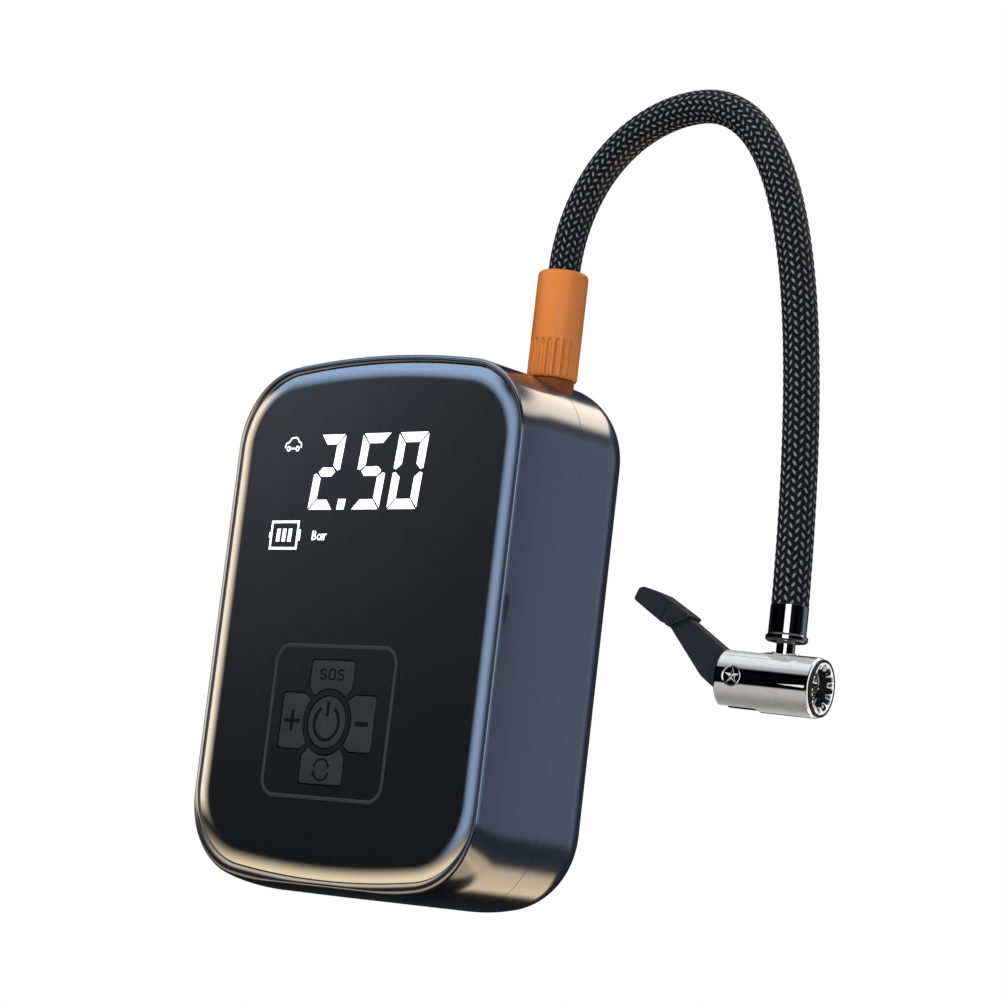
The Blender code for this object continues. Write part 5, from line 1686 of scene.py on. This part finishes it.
# ================================================================ lever
def lever_outline():
    """Side view (x, z) in the chuck frame: the cam round the pin, then the arm."""
    points = []
    for k in range(49):
        turn = math.radians(-62 + 138 * k / 48)
        radius = 4.0 - 1.2 * turn
        points.append((PIN_X + radius * math.cos(turn), PIN_Z + radius * math.sin(turn)))
    # x, z, corner radius
    arm = [
        (-11.1, 3.4, 1.5), (-14.5, 6.4, 2.0), (-23.9, 12.2, 0.6), (-24.6, 13.6, 0.5),
        (-30.6, 12.5, 0.4), (-29.6, 10.4, 0.4), (-28.1, 9.8, 0.8), (-19.6, 0.4, 0.8),
        (-19.0, -0.2, 0.6), (-16.3, -2.0, 1.5), (-12.2, -4.0, 1.0),
    ]
    radii = [0] * len(points) + [radius for _, _, radius in arm]
    return rounded(points + [(x, z) for x, z, _ in arm], radii)


def lever_arm(mesh):
    prism(mesh, lever_outline(), "y", -2.35, 2.35)


def lever_pad(mesh):
    """Wider thumb pad at the arm's end."""
    points = [
        (-23.9, 12.2), (-23.5, 12.9), (-31.6, 17.3), (-35.6, 18.4),
        (-36.9, 18.1), (-37.9, 15.4), (-30.4, 10.9), (-28.0, 10.2),
    ]
    outline = rounded(points, [0.3, 0.4, 3.0, 0.8, 0.6, 0.7, 2.0, 0.5])
    prism(mesh, outline, "y", -3.3, 3.3)


def lever_ribs(mesh):
    """Two slim ribs on each side of the pad."""
    for (x0, z0), (x1, z1) in (((-29.6, 14.6), (-30.6, 11.6)), ((-26.6, 13.0), (-27.7, 10.6))):
        along = Vector((x1 - x0, z1 - z0)).normalized()
        side = Vector((-along.y, along.x)) * 0.2
        outline = [
            (x0 + side.x, z0 + side.y), (x0 - side.x, z0 - side.y),
            (x1 - side.x, z1 - side.y), (x1 + side.x, z1 + side.y),
        ]
        for low, high in ((-3.46, -3.0), (3.0, 3.46)):
            prism(mesh, outline, "y", low, high)


def lever_bore(mesh):
    profile = [(0, -5), (PIN_R, -5), (PIN_R, 5), (0, 5)]
    lathe(mesh, profile, "y", (PIN_Z, PIN_X), 64)


def build_lever():
    """The edges are rounded before the ribs go on, so the ribs stay crisp."""
    obj = make("lever_arm", lever_arm, MAT["lever"], CHUCK_FRAME)
    carve(obj, [(lever_pad, "UNION", CHUCK_FRAME), (lever_bore, "DIFFERENCE", CHUCK_FRAME)])
    bevel = obj.modifiers.new("edges", "BEVEL")
    bevel.width, bevel.segments = 0.28 * MM_TO_M, 3
    bevel.limit_method, bevel.angle_limit = "ANGLE", math.radians(40)
    bevel.miter_outer = "MITER_ARC"
    bake(obj, angle=35)
    carve(obj, [(lever_ribs, "UNION", CHUCK_FRAME)], angle=35)
    keep_flats(obj)
    register(obj, "lever", "chuck_lever")


build_lever()

# ================================================================ finishes of the CAD nodes
SLOT_OF = {row["node"]: row["material_slot"] for row in frame["record"]["subparts"]}
for name, obj in frame["nodes"].items():
    obj.data.materials.clear()
    obj.data.materials.append(MAT[SLOT_OF[name]])
    for polygon in obj.data.polygons:
        polygon.material_index = 0
        polygon.use_smooth = True
    obj.data.set_sharp_from_angle(angle=math.radians(35))


# ================================================================ stage, in metres
def floor_finish():
    """Pale matt floor that fades out with distance and lets light through from below."""
    tree = new_material("floor_pale")
    where = tree.coords()
    cloud = tree.noise(where, scale=3.0)
    shader = tree.principled({
        "Base Color": tree.mix(cloud, low=(0.80, 0.79, 0.775), high=(0.83, 0.82, 0.805)),
        "Roughness": 0.8,
    })
    far = tree.ramp(tree.vector("LENGTH", where), over=(0.30, 0.75))
    unseen = tree.math("MAXIMUM", tree.geometry("Backfacing"), far)
    clear = tree.node("BsdfTransparent")[0]
    tree.output(tree.node("MixShader", {0: unseen, 1: shader, 2: clear})[0])
    return tree.owner


def build_floor():
    size = 1.6
    mesh = bpy.data.meshes.new("floor")
    corners = [(x, y, 0) for x, y in rectangle(-size, size, -size, size)]
    mesh.from_pydata(corners, [], [(0, 1, 2, 3)])
    mesh.materials.append(floor_finish())
    floor = bpy.data.objects.new("floor", mesh)
    bpy.context.scene.collection.objects.link(floor)
    floor.location.z = Z_BASE * MM_TO_M - 0.00002
    floor.visible_glossy = False


build_floor()

DOME = (0.75, 0.76, 0.78)
ROOM = (0.018, 0.019, 0.022)
# soft cards seen in reflections: colour, patch
CARDS = [
    # cream card behind, high: the upper right corner
    ((4.2, 3.6, 2.9), (22.0, 28.0, 10.0, 40.0, 2.5, 6.5)),
    # warm card behind, low: the lower right corner
    ((3.3, 2.60, 1.76), (54.0, 60.0, 14.0, -41.0, 3.0, 7.5)),
    # its lower end in front: the corner beside the rim
    ((2.8, 2.2, 1.5), (72.0, 34.0, 22.0, -58.0, 8.0, 9.0)),
    # cool wall on the right and behind: the side
    ((0.34, 0.43, 0.57), (54.0, 28.0, 18.0, 8.0, 13.0, 9.0)),
    # cool strip in front on the right: the rim's bright line
    ((0.60, 0.85, 1.30), (132.0, 14.0, 12.0, 8.0, 10.0, 10.0)),
    # cool card in front: the panel's right edge
    ((0.345, 0.47, 0.72), (-158.5, 2.0, (12.0, 14.0), 8.0, 12.0, 10.0)),
    # cool card left, high: the panel's top edge
    ((0.44, 0.64, 0.93), (-124.0, 20.0, 14.0, 36.0, 8.5, 16.5)),
]


def studio():
    """White surround for the camera; for everything else, a dim room with cards and a dome."""
    world = bpy.data.worlds.new("studio")
    bpy.context.scene.world = world
    tree = Tree(world)
    world.node_tree.nodes.clear()
    view = angles(tree, tree.node("TexCoord")["Generated"])
    layers = [(colour, patch(tree, view, shape)) for colour, shape in CARDS]
    layers.append((ROOM, tree.plus(tree.times(view[1], 0.0), 1.0)))
    layers.append((DOME, tree.ramp(view[1], over=(44.0, 66.0))))
    total = None
    for colour, share in layers:
        lit = tree.mix(share, (0, 0, 0), colour)
        total = lit if total is None else tree.vector("ADD", total, lit)
    dark = tree.node("Background", {"Color": total})[0]
    pale = tree.node("Background", {"Color": (1.0, 1.0, 1.0)})[0]
    seen = tree.node("LightPath")["Is Camera Ray"]
    mixed = tree.node("MixShader", {0: seen, 1: dark, 2: pale})[0]
    tree.node("OutputWorld", {"Surface": mixed})


studio()

# name, location, target, size, power in watts, colour
LIGHTS = [
    ("key_light", (-0.25, -1.0, 0.75), (0.03, 0, 0.09), 0.7, 11.0, (1, 1, 1)),
    ("fill_light", (1.0, -0.7, 0.4), (0.03, 0, 0.09), 0.8, 3.2, (0.95, 0.97, 1.0)),
    ("top_light", (0.0, 0.5, 1.3), (0.03, 0, 0.0), 1.2, 9.0, (1, 1, 1)),
    ("back_light", (-0.4, 1.1, 0.6), (0.03, 0, 0.09), 0.8, 6.0, (1, 1, 1)),
]
for name, location, target, size, power, colour in LIGHTS:
    data = bpy.data.lights.new(name, "AREA")
    data.shape, data.size = "DISK", size
    data.energy, data.color = power, colour
    lamp_object = bpy.data.objects.new(name, data)
    lamp_object.location = location
    lamp_object.rotation_mode = "QUATERNION"
    aim = Vector(target) - Vector(location)
    lamp_object.rotation_quaternion = aim.to_track_quat("-Z", "Y")
    lamp_object.visible_glossy = False
    bpy.context.scene.collection.objects.link(lamp_object)

# ================================================================ camera
CAMERA_PLACE = Vector((489.135, -518.961, -2.798)) * MM_TO_M
CAMERA_RIGHT = Vector((0.7503992, 0.65078679, 0.11566155))
CAMERA_UP = Vector((0.008258, -0.18420045, 0.98285401))
CAMERA_FORWARD = Vector((-0.66093331, 0.73657773, 0.14359807))
camera = bpy.data.objects.new("camera", bpy.data.cameras.new("camera"))
bpy.context.scene.collection.objects.link(camera)
camera_axes = Matrix((CAMERA_RIGHT, CAMERA_UP, -CAMERA_FORWARD)).transposed().to_4x4()
camera.matrix_world = Matrix.Translation(CAMERA_PLACE) @ camera_axes
camera.data.sensor_width = 36.0
camera.data.lens = 105.04
camera.data.clip_start, camera.data.clip_end = 0.01, 20.0
bpy.context.scene.camera = camera
bpy.context.scene.view_settings.view_transform = "Standard"
